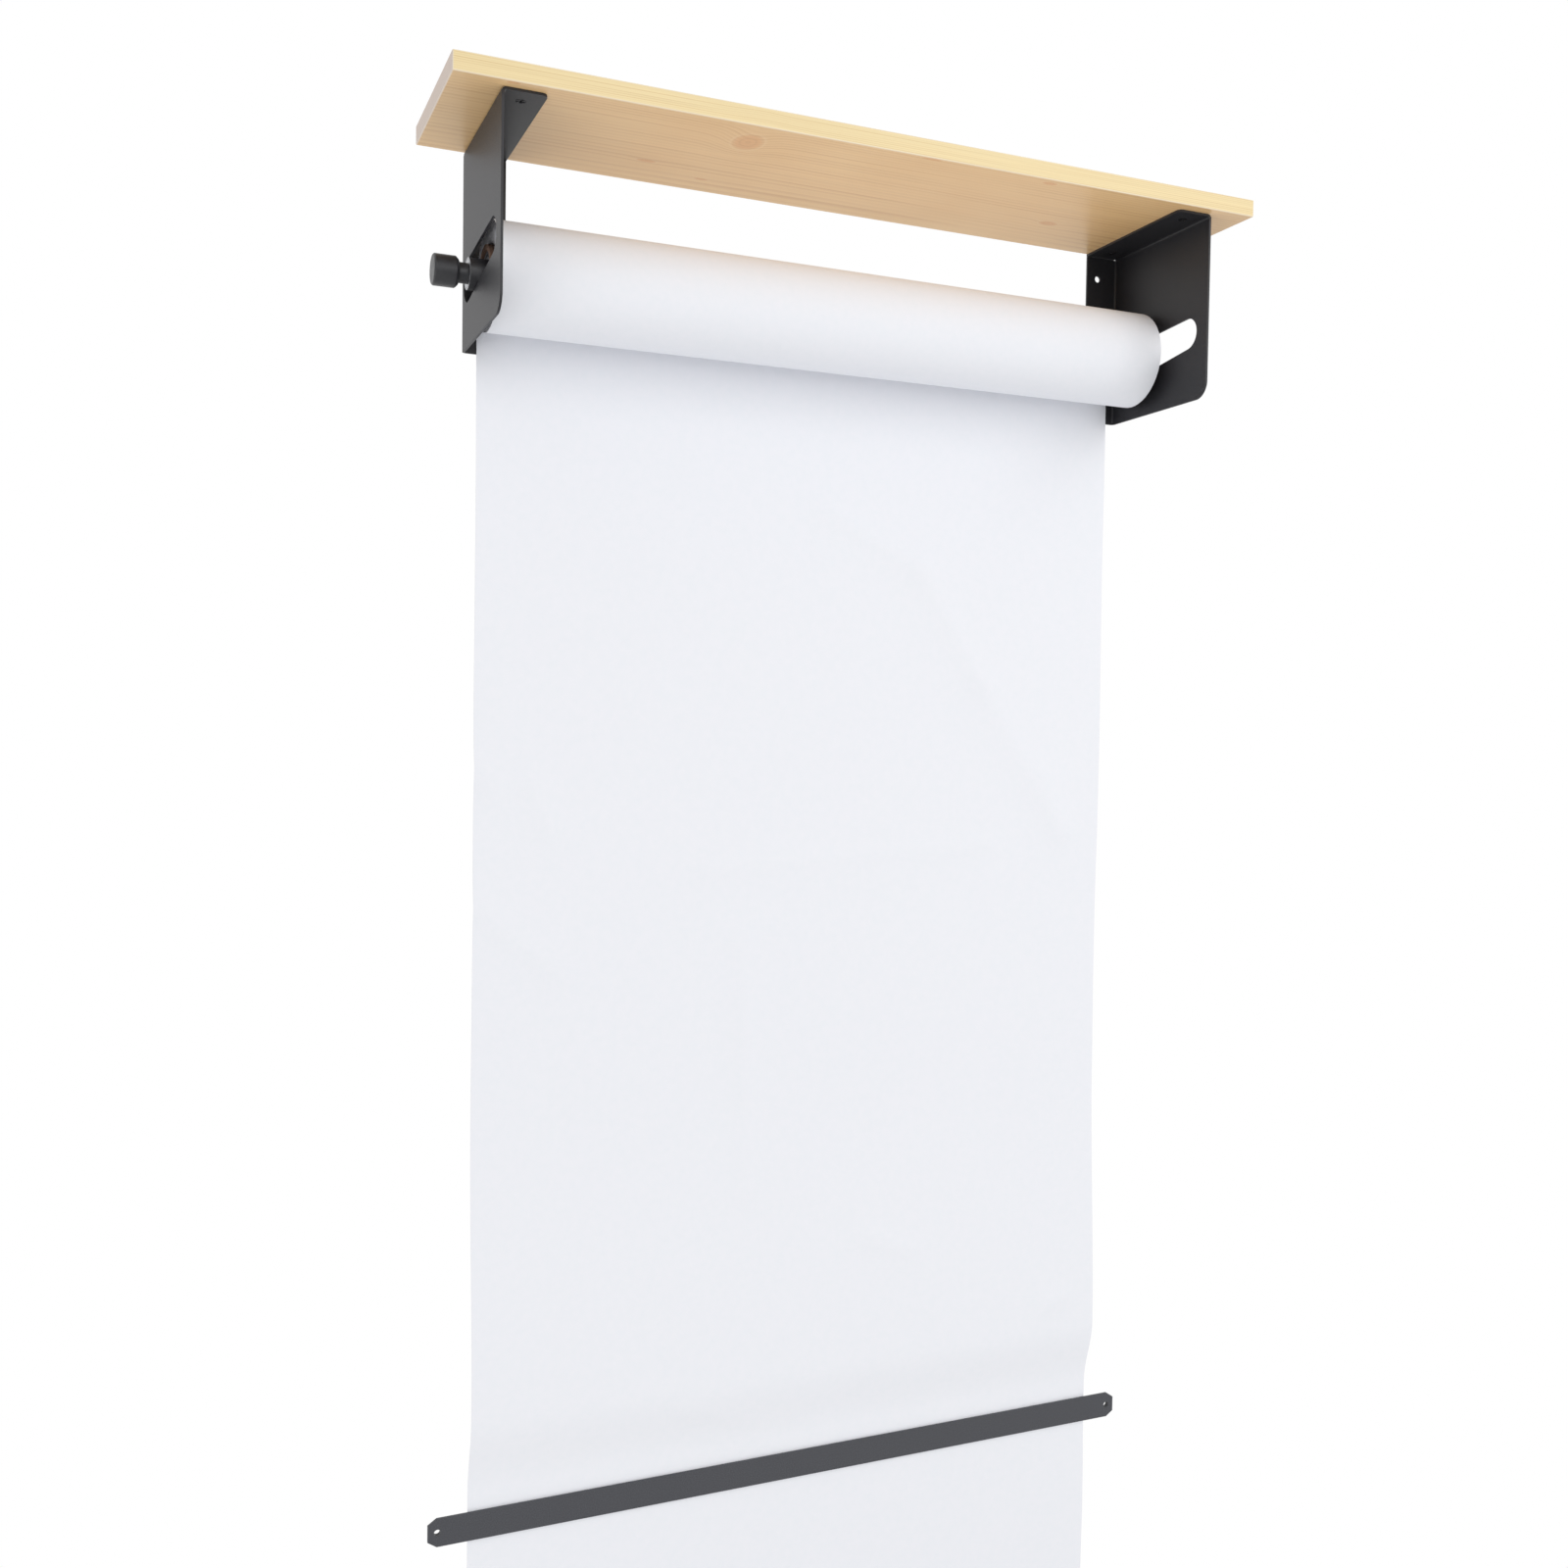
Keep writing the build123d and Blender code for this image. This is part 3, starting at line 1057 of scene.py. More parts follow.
@dataclass(frozen=True, kw_only=True)
class UncoatedPaper(Finish):
    """Uncoated, brightened white paper, which shows faint cool clouds of fibre and no gloss."""

    name: str = "uncoated_paper"
    sheet: str = "#EFF0F5"
    cloud: str = "#EDEFF4"
    cloud_size: float = 0.006
    cloud_range: Span = (0.35, 0.70)
    fibre_size: float = 0.0011

    def surface(self, tree: Tree, place: Socket) -> Inputs:
        """Build the paper's clouds and its fibre.

        Args:
            tree: The material's node tree.
            place: Object coordinates, in metres.

        Returns:
            The shader's inputs.
        """
        clouds = add_node(
            tree,
            "ShaderNodeTexNoise",
            inputs={"Vector": place, "Scale": 1 / self.cloud_size, "Detail": 4.0},
        ).outputs["Fac"]
        share = add_node(
            tree,
            "ShaderNodeMapRange",
            inputs={
                "Value": clouds,
                "From Min": self.cloud_range[0],
                "From Max": self.cloud_range[1],
            },
        ).outputs["Result"]
        colour = add_node(
            tree,
            "ShaderNodeMix",
            MIX_COLOURS,
            {MIX_FACTOR: share, MIX_FIRST: linear(self.sheet), MIX_SECOND: linear(self.cloud)},
        ).outputs[MIX_RESULT]
        fibre = add_node(
            tree,
            "ShaderNodeTexNoise",
            inputs={"Vector": place, "Scale": 1 / self.fibre_size, "Detail": 2.0},
        ).outputs["Fac"]
        bump = add_node(
            tree,
            "ShaderNodeBump",
            inputs={"Height": fibre, "Strength": 0.12, "Distance": 0.0001},
        ).outputs["Normal"]
        return {
            "Base Color": colour,
            "Roughness": 0.88,
            "Specular IOR Level": 0.25,
            "Normal": bump,
        }


@dataclass(frozen=True, kw_only=True)
class WoundPaper(WoundFinish):
    """The cut ends of wound paper, which show as fine rings with painted shade between the layers.

    Real layers are a tenth of a millimetre thick. The rings are drawn as coarse as they need to
    show.
    """

    name: str = "wound_paper"
    edge: str = "#EFF0F5"
    # Painted shade in the gaps between the wound layers
    painted_gap_shade: str = "#DFE1E8"
    layer: float = 0.0011
    waver: float = 2.0
    waver_detail: float = 3.0
    waver_scale: float = 0.4
    # Where in each layer the painted shade falls, and how much of it
    gap_shade_range: Span = (0.55, 1.0)
    gap_shade_share: float = 0.6

    def surface(self, tree: Tree, place: Socket) -> Inputs:
        """Build the rings of the cut layers, with painted shade in the gaps between them.

        Args:
            tree: The material's node tree.
            place: Object coordinates, in metres.

        Returns:
            The shader's inputs.
        """
        rings = self.rings(tree, place)
        share = add_node(
            tree,
            "ShaderNodeMapRange",
            inputs={
                "Value": rings,
                "From Min": self.gap_shade_range[0],
                "From Max": self.gap_shade_range[1],
                "To Max": self.gap_shade_share,
            },
        ).outputs["Result"]
        # Pale layer edges with painted shade between them
        colour = add_node(
            tree,
            "ShaderNodeMix",
            MIX_COLOURS,
            {MIX_FACTOR: share, MIX_FIRST: linear(self.edge), MIX_SECOND: linear(self.painted_gap_shade)},
        ).outputs[MIX_RESULT]
        bump = add_node(
            tree,
            "ShaderNodeBump",
            inputs={"Height": rings, "Strength": 0.2, "Distance": 0.0002},
        ).outputs["Normal"]
        return {
            "Base Color": colour,
            "Roughness": 0.88,
            "Specular IOR Level": 0.25,
            "Normal": bump,
        }


def to_piece(shape: Shape, name: str) -> Piece:
    """Turn a finished shape into a smooth-shaded object at the origin.

    Args:
        shape: The shape, which is used up.
        name: The piece's name.

    Returns:
        The new object.
    """
    mesh = bpy.data.meshes.new(name)
    shape.to_mesh(mesh)
    shape.free()
    stale = mesh.attributes.get("custom_normal")
    if stale is not None:
        mesh.attributes.remove(stale)
    mesh.shade_smooth()
    piece = bpy.data.objects.new(name, mesh)
    bpy.context.scene.collection.objects.link(piece)
    return piece


def round_edges(shape: Shape, radius: float, segments: int = 2, sharper_than: float = 30.0) -> None:
    """Round the sharp edges of a shape.

    Args:
        shape: The shape to change.
        radius: The width of the rounding.
        segments: How many faces the rounding has.
        sharper_than: The least fold that counts as sharp, in degrees.
    """
    limit = math.radians(sharper_than)
    sharp = [e for e in shape.edges if len(e.link_faces) == 2 and e.calc_face_angle() > limit]
    bmesh.ops.bevel(
        shape,
        geom=sharp,
        offset=radius,
        offset_type="OFFSET",
        segments=segments,
        profile=0.5,
        affect="EDGES",
        clamp_overlap=True,
        material=-1,
    )


def keep_flats_flat(piece: Piece) -> Piece:
    """Weight the shading by face area, so that flats stay flat beside rounded edges.

    Args:
        piece: The piece to shade.

    Returns:
        The same piece.
    """
    modifier = piece.modifiers.new("even_shading", "WEIGHTED_NORMAL")
    modifier.mode = "FACE_AREA"
    modifier.weight = LARGE_FACE_WEIGHT
    return piece


@dataclass(frozen=True)
class Frame:
    """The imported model: its nodes by name."""

    nodes: dict[str, Piece]

    def rounded(self, node: str, radius: float) -> Piece:
        """Copy a node with its sharp edges rounded, to stand for it.

        Args:
            node: The node's name.
            radius: The width of the rounding.

        Returns:
            The copy, which replaces the node and rides on its body.
        """
        source = self.nodes[node]
        shape = bmesh.new()
        shape.from_mesh(source.data)
        bmesh.ops.remove_doubles(shape, verts=shape.verts, dist=MERGE_DISTANCE)
        bmesh.ops.dissolve_limit(
            shape, angle_limit=FLAT_FOLD, verts=shape.verts, edges=shape.edges
        )
        round_edges(shape, radius)
        piece = keep_flats_flat(to_piece(shape, f"{node}_finished"))
        return self.stand_in(piece, node)

    def stand_in(self, piece: Piece, node: str) -> Piece:
        """Let a piece stand for a node and ride on the node's body."""
        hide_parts(node)
        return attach(piece, self.nodes[node]["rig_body"])


@dataclass(frozen=True)
class Lathe:
    """Turns outlines round one axis, with a direction that radii are measured in."""

    centre: Vector
    axis: Vector
    radial: Vector
    steps: int

    @classmethod
    def along_x(cls, middle: Vector, steps: int) -> Lathe:
        """Set a lathe along X through a place, with outlines measured from x = 0.

        Args:
            middle: A place on the lathe's axis.
            steps: How many faces go round what it turns.

        Returns:
            The lathe.
        """
        return cls(Vector((0, middle.y, middle.z)), Vector((1, 0, 0)), Vector((0, 0, 1)), steps)

    def turn(self, outline: Sequence[Span]) -> Shape:
        """Turn an outline into a closed shape.

        Args:
            outline: Places along the axis with their radii.

        Returns:
            The turned shape, with its faces outwards.
        """
        shape = bmesh.new()
        points = [
            shape.verts.new(self.centre + self.axis * along + self.radial * radius)
            for along, radius in outline
        ]
        edges = [shape.edges.new(pair) for pair in zip(points, points[1:])]
        bmesh.ops.spin(
            shape,
            geom=points + edges,
            cent=self.centre,
            axis=self.axis,
            angle=math.tau,
            steps=self.steps,
            use_merge=True,
            use_duplicate=False,
        )
        bmesh.ops.remove_doubles(shape, verts=shape.verts, dist=MERGE_DISTANCE)
        bmesh.ops.recalc_face_normals(shape, faces=shape.faces)
        return shape


@dataclass(frozen=True)
class Shelf:
    """The pine board on top of the brackets, sawn from a log whose pith lies far above it."""

    frame: Frame
    pith_offset: Span = (0.169, 0.690)

    def build(self) -> Iterator[Piece]:
        """Dress the board, whose edges the frame already rounds.

        Returns:
            The board alone.
        """
        low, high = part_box("shelf_board")
        middle = (low + high) / 2
        board = LacqueredPine(
            middle=tuple(middle),
            half=tuple((high - low) / 2),
            pith=(middle.y + self.pith_offset[0], middle.z + self.pith_offset[1]),
        )
        yield board.dress(self.frame.nodes["shelf_board"])


@dataclass(frozen=True)
class Bracket:
    """One folded sheet steel bracket, with its two countersunk screws into the board.

    A screw's shank is a share of its head's radius, and ends at a share of the screw's length,
    where the point begins.
    """

    frame: Frame
    side: Side
    edge_round: float = 0.00045
    screw_finish: Finish = BareSteel(
        name="black_oxide_steel", base="#343436", fleck="#222224", roughness=0.5
    )
    screw_steps: int = 48
    head_rim: float = 0.0002
    shank_share: float = 0.52
    shank_end: float = 0.7
    recess_width: float = 0.0011
    recess_span: float = 0.0042
    recess_depth: float = 0.0016

    def build(self) -> Iterator[Piece]:
        """Build the bracket and its screws.

        Returns:
            The bracket and then its screws.
        """
        yield PowderCoat().dress(self.frame.rounded(f"{self.side.value}_bracket", self.edge_round))
        for row in Row:
            yield self.screw(row)

    def screw(self, row: Row) -> Piece:
        """Model one countersunk screw with a cross recess in its head.

        Args:
            row: Which of the two screws.

        Returns:
            The screw, which stands for its node.
        """
        node = f"{row.value}_{self.side.value}_shelf_screw"
        low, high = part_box(node)
        middle = (low + high) / 2
        head_radius = (high.x - low.x) / 2
        length = high.z - low.z
        shank_radius = head_radius * self.shank_share
        face = Vector((middle.x, middle.y, low.z))
        lathe = Lathe(face, Vector((0, 0, 1)), Vector((1, 0, 0)), self.screw_steps)
        outline = (
            (0.0, 0.0),
            (0.0, head_radius - self.head_rim),
            (self.head_rim, head_radius),
            (head_radius - shank_radius + self.head_rim, shank_radius),
            (length * self.shank_end, shank_radius),
            (length, 0.0),
        )
        piece = to_piece(lathe.turn(outline), f"{node}_finished")
        self.cut_cross(piece, face)
        self.screw_finish.dress(keep_flats_flat(piece))
        return self.frame.stand_in(piece, node)

    def cut_cross(self, screw: Piece, face: Vector) -> None:
        """Cut a cross recess into a screw's head.

        Args:
            screw: The screw to cut.
            face: The middle of the head's face.
        """
        shape = bmesh.new()
        arm = (self.recess_width, self.recess_span)
        for width, span in (arm, arm[::-1]):
            scale = Matrix.Diagonal((width, span, 2 * self.recess_depth, 1.0))
            bmesh.ops.create_cube(shape, size=1.0, matrix=Matrix.Translation(face) @ scale)
        cutter = to_piece(shape, "cross_cutter")
        cut = screw.modifiers.new("cross", "BOOLEAN")
        cut.operation = "DIFFERENCE"
        cut.solver = "EXACT"
        cut.use_self = True
        cut.object = cutter
        bpy.context.view_layer.update()
        shaped = screw.evaluated_get(bpy.context.evaluated_depsgraph_get())
        screw.data = bpy.data.meshes.new_from_object(shaped)
        screw.modifiers.clear()
        bpy.data.objects.remove(cutter)


@dataclass(frozen=True)
class Axle:
    """The tube through the roll and both slots, with its inserts, turned knob and end cap."""

    frame: Frame
    neck_radius: float = 0.008
    neck_length: float = 0.0075
    stud_radius: float = 0.005
    inner_bevel: float = 0.0025
    outer_bevel: float = 0.0010
    cap_bevel: float = 0.0008
    edge_round: float = 0.0004
    saw_burr: float = 0.0002
    steps: int = 128

    def build(self) -> Iterator[Piece]:
        """Dress the tube and inserts and turn the knob and the cap.

        Returns:
            The tube, the inserts, the knob and the cap.
        """
        low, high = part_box("rod_tube")
        tube = SatinPaint(name="satin_painted_tube", painted_to=high.x - self.saw_burr / 2)
        yield tube.dress(self.frame.rounded("rod_tube", self.saw_burr))
        for side in Side:
            yield BareSteel().dress(self.frame.nodes[f"{side.value}_tube_insert"])
        yield self.knob(low.x)
        yield self.cap(high.x)

    def knob(self, shoulder: float) -> Piece:
        """Turn the left end's knob with its neck and stud.

        Args:
            shoulder: Place of the tube's left end.

        Returns:
            The knob, which stands for its node.
        """
        low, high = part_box("left_end_knob")
        radius = (high.z - low.z) / 2
        inner = shoulder - self.neck_length
        outline = (
            (high.x, 0.0),
            (high.x, self.stud_radius),
            (shoulder, self.stud_radius),
            (shoulder, self.neck_radius),
            (inner, self.neck_radius),
            (inner, radius - self.inner_bevel),
            (inner - self.inner_bevel, radius),
            (low.x + self.outer_bevel, radius),
            (low.x, radius - self.outer_bevel),
            (low.x, 0.0),
        )
        return self.turned("left_end_knob", outline)

    def cap(self, shoulder: float) -> Piece:
        """Turn the right end's flat cap with its stud.

        Args:
            shoulder: Place of the tube's right end.

        Returns:
            The cap, which stands for its node.
        """
        low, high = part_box("right_end_cap")
        radius = (high.z - low.z) / 2
        outline = (
            (low.x, 0.0),
            (low.x, self.stud_radius),
            (shoulder, self.stud_radius),
            (shoulder, radius),
            (high.x - self.cap_bevel, radius),
            (high.x, radius - self.cap_bevel),
            (high.x, 0.0),
        )
        return self.turned("right_end_cap", outline)

    def turned(self, node: str, outline: Sequence[Span]) -> Piece:
        """Turn one painted end piece on the axle's line.

        Args:
            node: The node that the piece stands for.
            outline: Places along X with their radii.

        Returns:
            The finished piece.
        """
        low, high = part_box(node)
        shape = Lathe.along_x((low + high) / 2, self.steps).turn(outline)
        round_edges(shape, self.edge_round, segments=3, sharper_than=25.0)
        piece = keep_flats_flat(to_piece(shape, f"{node}_finished"))
        return self.frame.stand_in(SatinPaint().dress(piece), node)


@dataclass(frozen=True)
class PaperRoll:
    """The wound roll on its cardboard core, with the plugs that centre it on the tube.

    The outermost layer belongs to the hanging sheet. At each cut end the inner layers, a share of
    the winding's depth, are set back a little.
    """

    frame: Frame
    outer_layer: float = 0.00035
    inner_share: float = 0.58
    inner_recess: float = 0.0015
    edge_round: float = 0.0005
    steps: int = 160
    plug_round: float = 0.0004

    def build(self) -> Iterator[Piece]:
        """Wind the paper and dress the core and the plugs.

        Returns:
            The winding, the core and the plugs.
        """
        yield self.winding()
        low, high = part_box("cardboard_core")
        middle = (low + high) / 2
        core = KraftBoard(axis=(middle.y, middle.z))
        yield core.dress(self.frame.nodes["cardboard_core"])
        for side in Side:
            plug = self.frame.rounded(f"{side.value}_core_plug", self.plug_round)
            yield MouldedPlastic().dress(plug)

    def end_outline(self, half_width: float, bore: float, radius: float) -> list[Span]:
        """Trace one cut end from the core out to the last layer, with its inner layers set back.

        Args:
            half_width: Half the roll's length.
            bore: The radius of the core.
            radius: The radius of the roll.

        Returns:
            Distances from the roll's middle with their radii.
        """
        step = bore + (radius - bore) * self.inner_share
        return [
            (half_width - self.inner_recess, bore),
            (half_width - self.inner_recess, step),
            (half_width, step + self.edge_round),
            (half_width, radius - self.edge_round),
            (half_width - self.edge_round, radius),
        ]

    def winding(self) -> Piece:
        """Turn the wound paper under the outermost layer.

        Returns:
            The winding, which stands for the roll's node.
        """
        low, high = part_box("paper_roll")
        core_low, core_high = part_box("cardboard_core")
        centre = (low + high) / 2
        radius = (high.z - low.z) / 2 - self.outer_layer
        bore = (core_high.z - core_low.z) / 2
        right = self.end_outline(high.x, bore, radius)
        left = [(-along, r) for along, r in reversed(right)]
        shape = Lathe.along_x(centre, self.steps).turn([*right, *left, right[0]])
        piece = keep_flats_flat(to_piece(shape, "paper_roll_winding"))
        WoundPaper(axis=(centre.y, centre.z)).dress(piece)
        return self.frame.stand_in(piece, "paper_roll")


@dataclass(frozen=True)
class Crease:
    """One soft crease in the sheet, between two places given across and down it.

    It lifts the paper by its rise, which falls away over its reach. Its ridge is blunt over a
    share of that reach.
    """

    start: Span
    end: Span
    reach: float
    rise: float
    blunt_share: float = 0.25

    def height(self, across: float, down: float) -> float:
        """Give how far the crease lifts the paper at a place.

        Args:
            across: Place along X.
            down: Distance below the axle.

        Returns:
            The lift, which falls away with the distance from the crease.
        """
        place = Vector((across, down))
        start = Vector(self.start)
        run = Vector(self.end) - start
        share = min(1.0, max(0.0, (place - start).dot(run) / run.length_squared))
        away = (place - start - run * share).length
        blunt = self.blunt_share * self.reach
        return self.rise * math.exp(-(math.hypot(away, blunt) - blunt) / self.reach)


@dataclass(frozen=True)
class Hang:
    """The places that the frame gives the sheet: the roll it leaves, and the bar it runs behind."""

    axle: Vector
    radius: float
    half_width: float
    bottom: float
    bar_top: float
    behind_bar: float


@dataclass(frozen=True)
class PaperSheet:
    """The outermost layer of the roll and the sheet that hangs from it, behind the tear bar."""

    frame: Frame
    thickness: float = 0.0003
    spacing: float = 0.0055

    # Round the roll: how far the last layer goes, how high it lies, and how its spiral winds in
    wrap: float = math.radians(336)
    lift_off: float = 0.0005
    layer_step: float = 0.0005

    # Above the bar: how far the sheet swells towards the room, and where, above the bar's top
    belly_depth: float = 0.012
    belly_foot: float = 0.016
    belly_peak: float = 0.080
    belly_top: float = 0.330

    # Along the edges: waves, steady in part, that run askew from edge to edge and fade inwards
    flutter: float = 0.0022
    flutter_length: float = 0.36
    flutter_skew: float = 1.5
    flutter_steady: float = 0.6
    flutter_swing: float = 0.4
    flutter_fade: int = 3

    # Where the sheet is free to crease: this far below the axle, and this far from the bar
    free_after: float = 0.15
    held_near_bar: float = 0.12

    # Two heights on the hanging sheet, one under the roll and one low down
    bend_top: float = -0.095
    bend_bottom: float = -0.95
    creases: tuple[Crease, ...] = (
        Crease((0.014, 0.159), (0.107, 0.207), 0.012, 0.0030),
        Crease((0.107, 0.207), (0.173, 0.310), 0.016, 0.0038),
        Crease((0.173, 0.310), (0.264, 0.453), 0.018, 0.0034),
        Crease((-0.103, 0.481), (0.187, 0.462), 0.012, 0.0018),
        Crease((-0.068, 0.544), (-0.059, 0.766), 0.014, 0.0028),
        Crease((-0.304, 0.509), (-0.243, 0.561), 0.012, 0.0034),
        Crease((-0.262, 0.403), (-0.244, 0.445), 0.010, 0.0026),
        Crease((-0.310, 0.387), (-0.295, 0.405), 0.012, 0.0040),
        Crease((0.058, 0.826), (0.104, 0.844), 0.009, 0.0022),
        Crease((0.258, 0.916), (0.273, 0.909), 0.008, 0.0024),
        Crease((0.240, 0.394), (0.270, 0.451), 0.010, 0.0022),
        Crease((-0.115, 0.963), (-0.029, 0.992), 0.012, 0.0028),
    )

    def build(self) -> Iterator[Piece]:
        """Returns:
            The sheet alone.
        """
        hang = self.hang()
        width = 2 * hang.half_width
        length = self.wrap_length(hang) + hang.axle.z - hang.bottom
        shape = bmesh.new()
        bmesh.ops.create_grid(
            shape,
            x_segments=round(width / self.spacing),
            y_segments=round(length / self.spacing),
            size=0.5,
        )
        for corner in shape.verts:
            across = corner.co.x * width
            along = (0.5 - corner.co.y) * length
            corner.co = self.place(hang, across, along)
        bmesh.ops.recalc_face_normals(shape, faces=shape.faces)
        piece = to_piece(shape, "paper_sheet_hung")
        wall = piece.modifiers.new("paper", "SOLIDIFY")
        wall.thickness = self.thickness
        wall.offset = 0.0
        UncoatedPaper().dress(keep_flats_flat(piece))
        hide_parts("paper_sheet")
        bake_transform(piece)
        yield piece

    def hang(self) -> Hang:
        """Read the sheet's fixed places from the frame.

        Returns:
            The places.
        """
        roll_low, roll_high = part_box("paper_roll")
        sheet_low, sheet_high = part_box("paper_sheet")
        _, bar_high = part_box("tear_bar")
        return Hang(
            axle=(roll_low + roll_high) / 2,
            radius=(roll_high.z - roll_low.z) / 2 + self.lift_off,
            half_width=sheet_high.x,
            bottom=sheet_low.z,
            bar_top=bar_high.z,
            behind_bar=sheet_high.y - self.thickness / 2,
        )

    def wrap_length(self, hang: Hang) -> float:
        """Give the length of paper that still lies round the roll."""
        return self.wrap * (hang.radius - self.layer_step / 2)

    def place(self, hang: Hang, across: float, along: float) -> Vector:
        """Give the place of one point of the sheet.

        Args:
            hang: The sheet's fixed places.
            across: Place along X.
            along: Distance along the paper from its inner end on the roll.

        Returns:
            The point in the frame.
        """
        wrapped = self.wrap_length(hang)
        if along > wrapped:
            return self.hung_place(hang, across, along - wrapped)
        angle = self.wrap * (1 - along / wrapped)
        radius = hang.radius - self.layer_step * angle / math.tau
        return hang.axle + Vector((across, radius * math.cos(angle), radius * math.sin(angle)))

    def hung_place(self, hang: Hang, across: float, down: float) -> Vector:
        """Give the place of one point that hangs free.

        Args:
            hang: The sheet's fixed places.
            across: Place along X.
            down: Distance below the axle.

        Returns:
            The point in the frame.
        """
        z = hang.axle.z - down
        above = z - hang.bar_top
        top = hang.axle.y + hang.radius
        fall = smoothstep(down / (hang.axle.z - hang.bar_top))
        if above > self.belly_peak:
            belly = 1 - smoothstep((above - self.belly_peak) / (self.belly_top - self.belly_peak))
        else:
            belly = smoothstep((above - self.belly_foot) / (self.belly_peak - self.belly_foot))
        free = smoothstep(down / self.free_after) * smoothstep(abs(above) / self.held_near_bar)
        askew = self.flutter_skew * across / hang.half_width
        wave = math.sin(math.tau * down / self.flutter_length + askew)
        edge = (abs(across) / hang.half_width) ** self.flutter_fade
        ripple = self.flutter * edge * (self.flutter_steady + self.flutter_swing * wave)
        creased = sum(crease.height(across, down) for crease in self.creases)
        lift = self.belly_depth * belly + free * (ripple + creased)
        return Vector((across, top + (hang.behind_bar - top) * fall - lift, z))


@dataclass(frozen=True)
class TearBar:
    """The flat bar that the sheet is torn against, and the spacers that hold it off the wall."""

    frame: Frame
    edge_round: float = 0.00035
    coat: Finish = PowderCoat(name="grey_powder_coated_steel", body="#404146", grains="#4C4D52")

    def build(self) -> Iterator[Piece]:
        """Round and dress the bar and its spacers.

        Returns:
            The bar and then its spacers.
        """
        yield self.coat.dress(self.frame.rounded("tear_bar", self.edge_round))
        for side in Side:
            spacer = self.frame.rounded(f"{side.value}_bar_spacer", self.edge_round)
            yield MouldedPlastic().dress(spacer)


@dataclass(frozen=True)
class Viewpoint:
    """The portrait's camera: its place, its turns in degrees and its focal length in pixels."""

    place: Point = (-0.5644, -1.2588, -0.3870)
    yaw: float = 23.124
    pitch: float = -1.993
    roll: float = -0.846
    focal_pixels: float = 1545.8
    frame_pixels: float = 1600.0
    sensor: float = 36.0

    def build(self) -> None:
        """Make the camera and look through it."""
        yaw, pitch, roll = (math.radians(turn) for turn in (self.yaw, self.pitch, self.roll))
        forward = Vector(
            (math.sin(yaw) * math.cos(pitch), math.cos(yaw) * math.cos(pitch), math.sin(pitch))
        )
        level = Vector((math.cos(yaw), -math.sin(yaw), 0))
        down = forward.cross(level)
        right = level * math.cos(roll) + down * math.sin(roll)
        up = level * math.sin(roll) - down * math.cos(roll)
        data = bpy.data.cameras.new("portrait")
        data.sensor_width = self.sensor
        data.lens = self.focal_pixels / self.frame_pixels * self.sensor
        camera = bpy.data.objects.new("portrait", data)
        turn = Matrix((right, up, -forward)).transposed().to_4x4()
        camera.matrix_world = Matrix.Translation(Vector(self.place)) @ turn
        bpy.context.scene.collection.objects.link(camera)
        bpy.context.scene.camera = camera


@dataclass(frozen=True)
class Softbox:
    """One square studio lamp that faces a target, with its width and its power in watts."""

    name: str
    place: Point
    target: Point
    size: float
    power: float

    def build(self) -> None:
        """Hang the lamp."""
        data = bpy.data.lights.new(self.name, "AREA")
        data.size = self.size
        data.energy = self.power
        lamp = bpy.data.objects.new(self.name, data)
        place = Vector(self.place)
        facing = (Vector(self.target) - place).to_track_quat("-Z", "Y")
        lamp.matrix_world = Matrix.Translation(place) @ facing.to_matrix().to_4x4()
        bpy.context.scene.collection.objects.link(lamp)


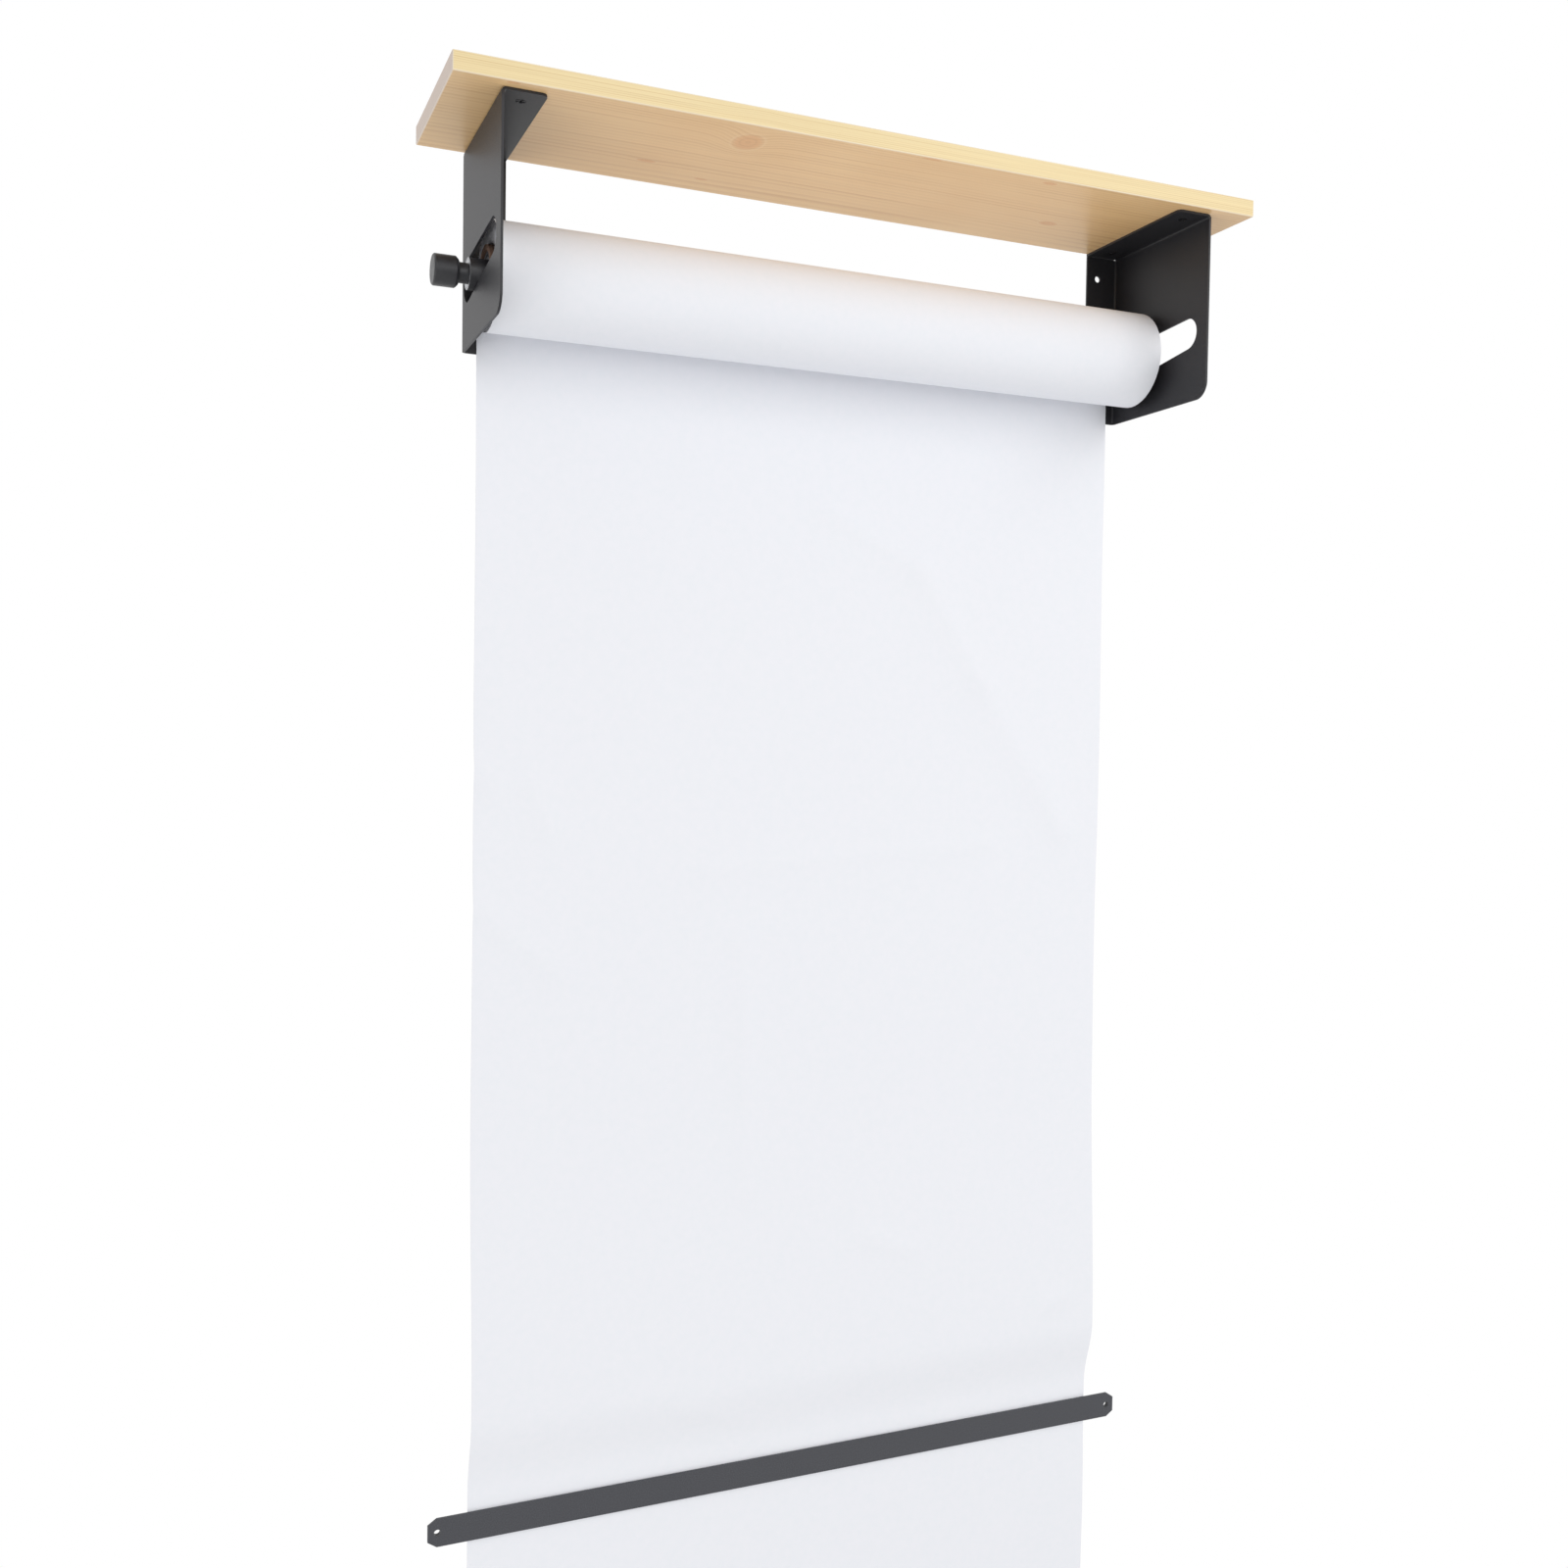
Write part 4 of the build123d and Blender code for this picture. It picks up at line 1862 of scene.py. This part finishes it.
@dataclass(frozen=True)
class Studio:
    """A white studio: a pale floor far below, soft lamps, a white surround and the camera.

    The surround is white to look at, and lights the object at the strength of the fill. The floor
    is partly white to look at, so that it keeps a faint shadow.
    """

    floor_z: float = -1.80
    floor_radius: float = 1.10
    floor_segments: int = 96
    floor_colour: str = "#F4F4F3"
    floor_white: float = 0.75
    fill: float = 0.73
    lamps: tuple[Softbox, ...] = (
        Softbox("key", (1.2, -2.5, 0.65), (0.0, -0.05, -0.4), size=2.3, power=30.0),
        Softbox("side", (-2.0, -1.0, -1.3), (-0.3, -0.05, -0.1), size=1.2, power=5.5),
    )
    viewpoint: Viewpoint = Viewpoint()

    def build(self) -> None:
        """Set the floor, the lamps, the surround and the camera."""
        bpy.context.scene.view_settings.view_transform = "Standard"
        self.floor()
        self.surround()
        for lamp in self.lamps:
            lamp.build()
        self.viewpoint.build()

    def seen_directly(self, tree: Tree) -> Socket:
        """Tell rays that show a surface from rays that light one.

        Args:
            tree: The node tree to add to.

        Returns:
            A socket that is 1 for rays that show a surface, and 0 for the others.
        """
        path = add_node(tree, "ShaderNodeLightPath")
        total = path.outputs["Is Camera Ray"]
        for kind in ("Is Glossy Ray", "Is Transmission Ray"):
            total = add_node(
                tree, "ShaderNodeMath", {"operation": "MAXIMUM"}, {0: total, 1: path.outputs[kind]}
            ).outputs[0]
        return total

    def surround(self) -> None:
        """Make the world white to look at, and a little softer as light."""
        world = bpy.data.worlds.new("white_surround")
        world.use_nodes = True
        tree = world.node_tree
        tree.nodes.clear()
        strength = add_node(
            tree,
            "ShaderNodeMapRange",
            inputs={"Value": self.seen_directly(tree), "To Min": self.fill, "To Max": 1.0},
        ).outputs["Result"]
        light = add_node(
            tree,
            "ShaderNodeBackground",
            inputs={"Color": (1.0, 1.0, 1.0, 1.0), "Strength": strength},
        ).outputs["Background"]
        add_node(tree, "ShaderNodeOutputWorld", inputs={"Surface": light})
        bpy.context.scene.world = world

    def floor(self) -> None:
        """Lay a pale round floor that is open to look through from below."""
        shape = bmesh.new()
        bmesh.ops.create_circle(
            shape,
            cap_ends=True,
            segments=self.floor_segments,
            radius=self.floor_radius,
            matrix=Matrix.Translation((0.0, 0.0, self.floor_z)),
        )
        floor = to_piece(shape, "studio_floor")
        material = bpy.data.materials.new("studio_floor")
        material.use_nodes = True
        tree = material.node_tree
        tree.nodes.clear()
        pale = add_node(
            tree, "ShaderNodeBsdfDiffuse", inputs={"Color": linear(self.floor_colour)}
        ).outputs["BSDF"]
        white = add_node(tree, "ShaderNodeEmission", inputs={"Strength": 1.0}).outputs["Emission"]
        seen = add_node(
            tree,
            "ShaderNodeMath",
            {"operation": "MULTIPLY"},
            {0: self.seen_directly(tree), 1: self.floor_white},
        ).outputs[0]
        clear = add_node(tree, "ShaderNodeBsdfTransparent").outputs["BSDF"]
        below = add_node(tree, "ShaderNodeNewGeometry").outputs["Backfacing"]
        surface = pale
        for share, over in ((seen, white), (below, clear)):
            surface = add_node(
                tree, "ShaderNodeMixShader", inputs={0: share, 1: surface, 2: over}
            ).outputs[0]
        add_node(tree, "ShaderNodeOutputMaterial", inputs={"Surface": surface})
        floor.data.materials.append(material)


def main() -> None:
    """Build the dispenser's pieces in order and set the studio."""
    logging.basicConfig(level=logging.INFO, format="%(name)s: %(message)s")
    frame = Frame(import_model()["nodes"])
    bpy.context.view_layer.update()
    assemblies = (
        Shelf(frame),
        *(Bracket(frame, side) for side in Side),
        Axle(frame),
        PaperRoll(frame),
        PaperSheet(frame),
        TearBar(frame),
    )
    for assembly in assemblies:
        kind = type(assembly).__name__
        for piece in assembly.build():
            LOG.info("%s: %s, %d faces", kind, piece.name, len(piece.data.polygons))
    Studio().build()


if __name__ == "__main__":
    main()
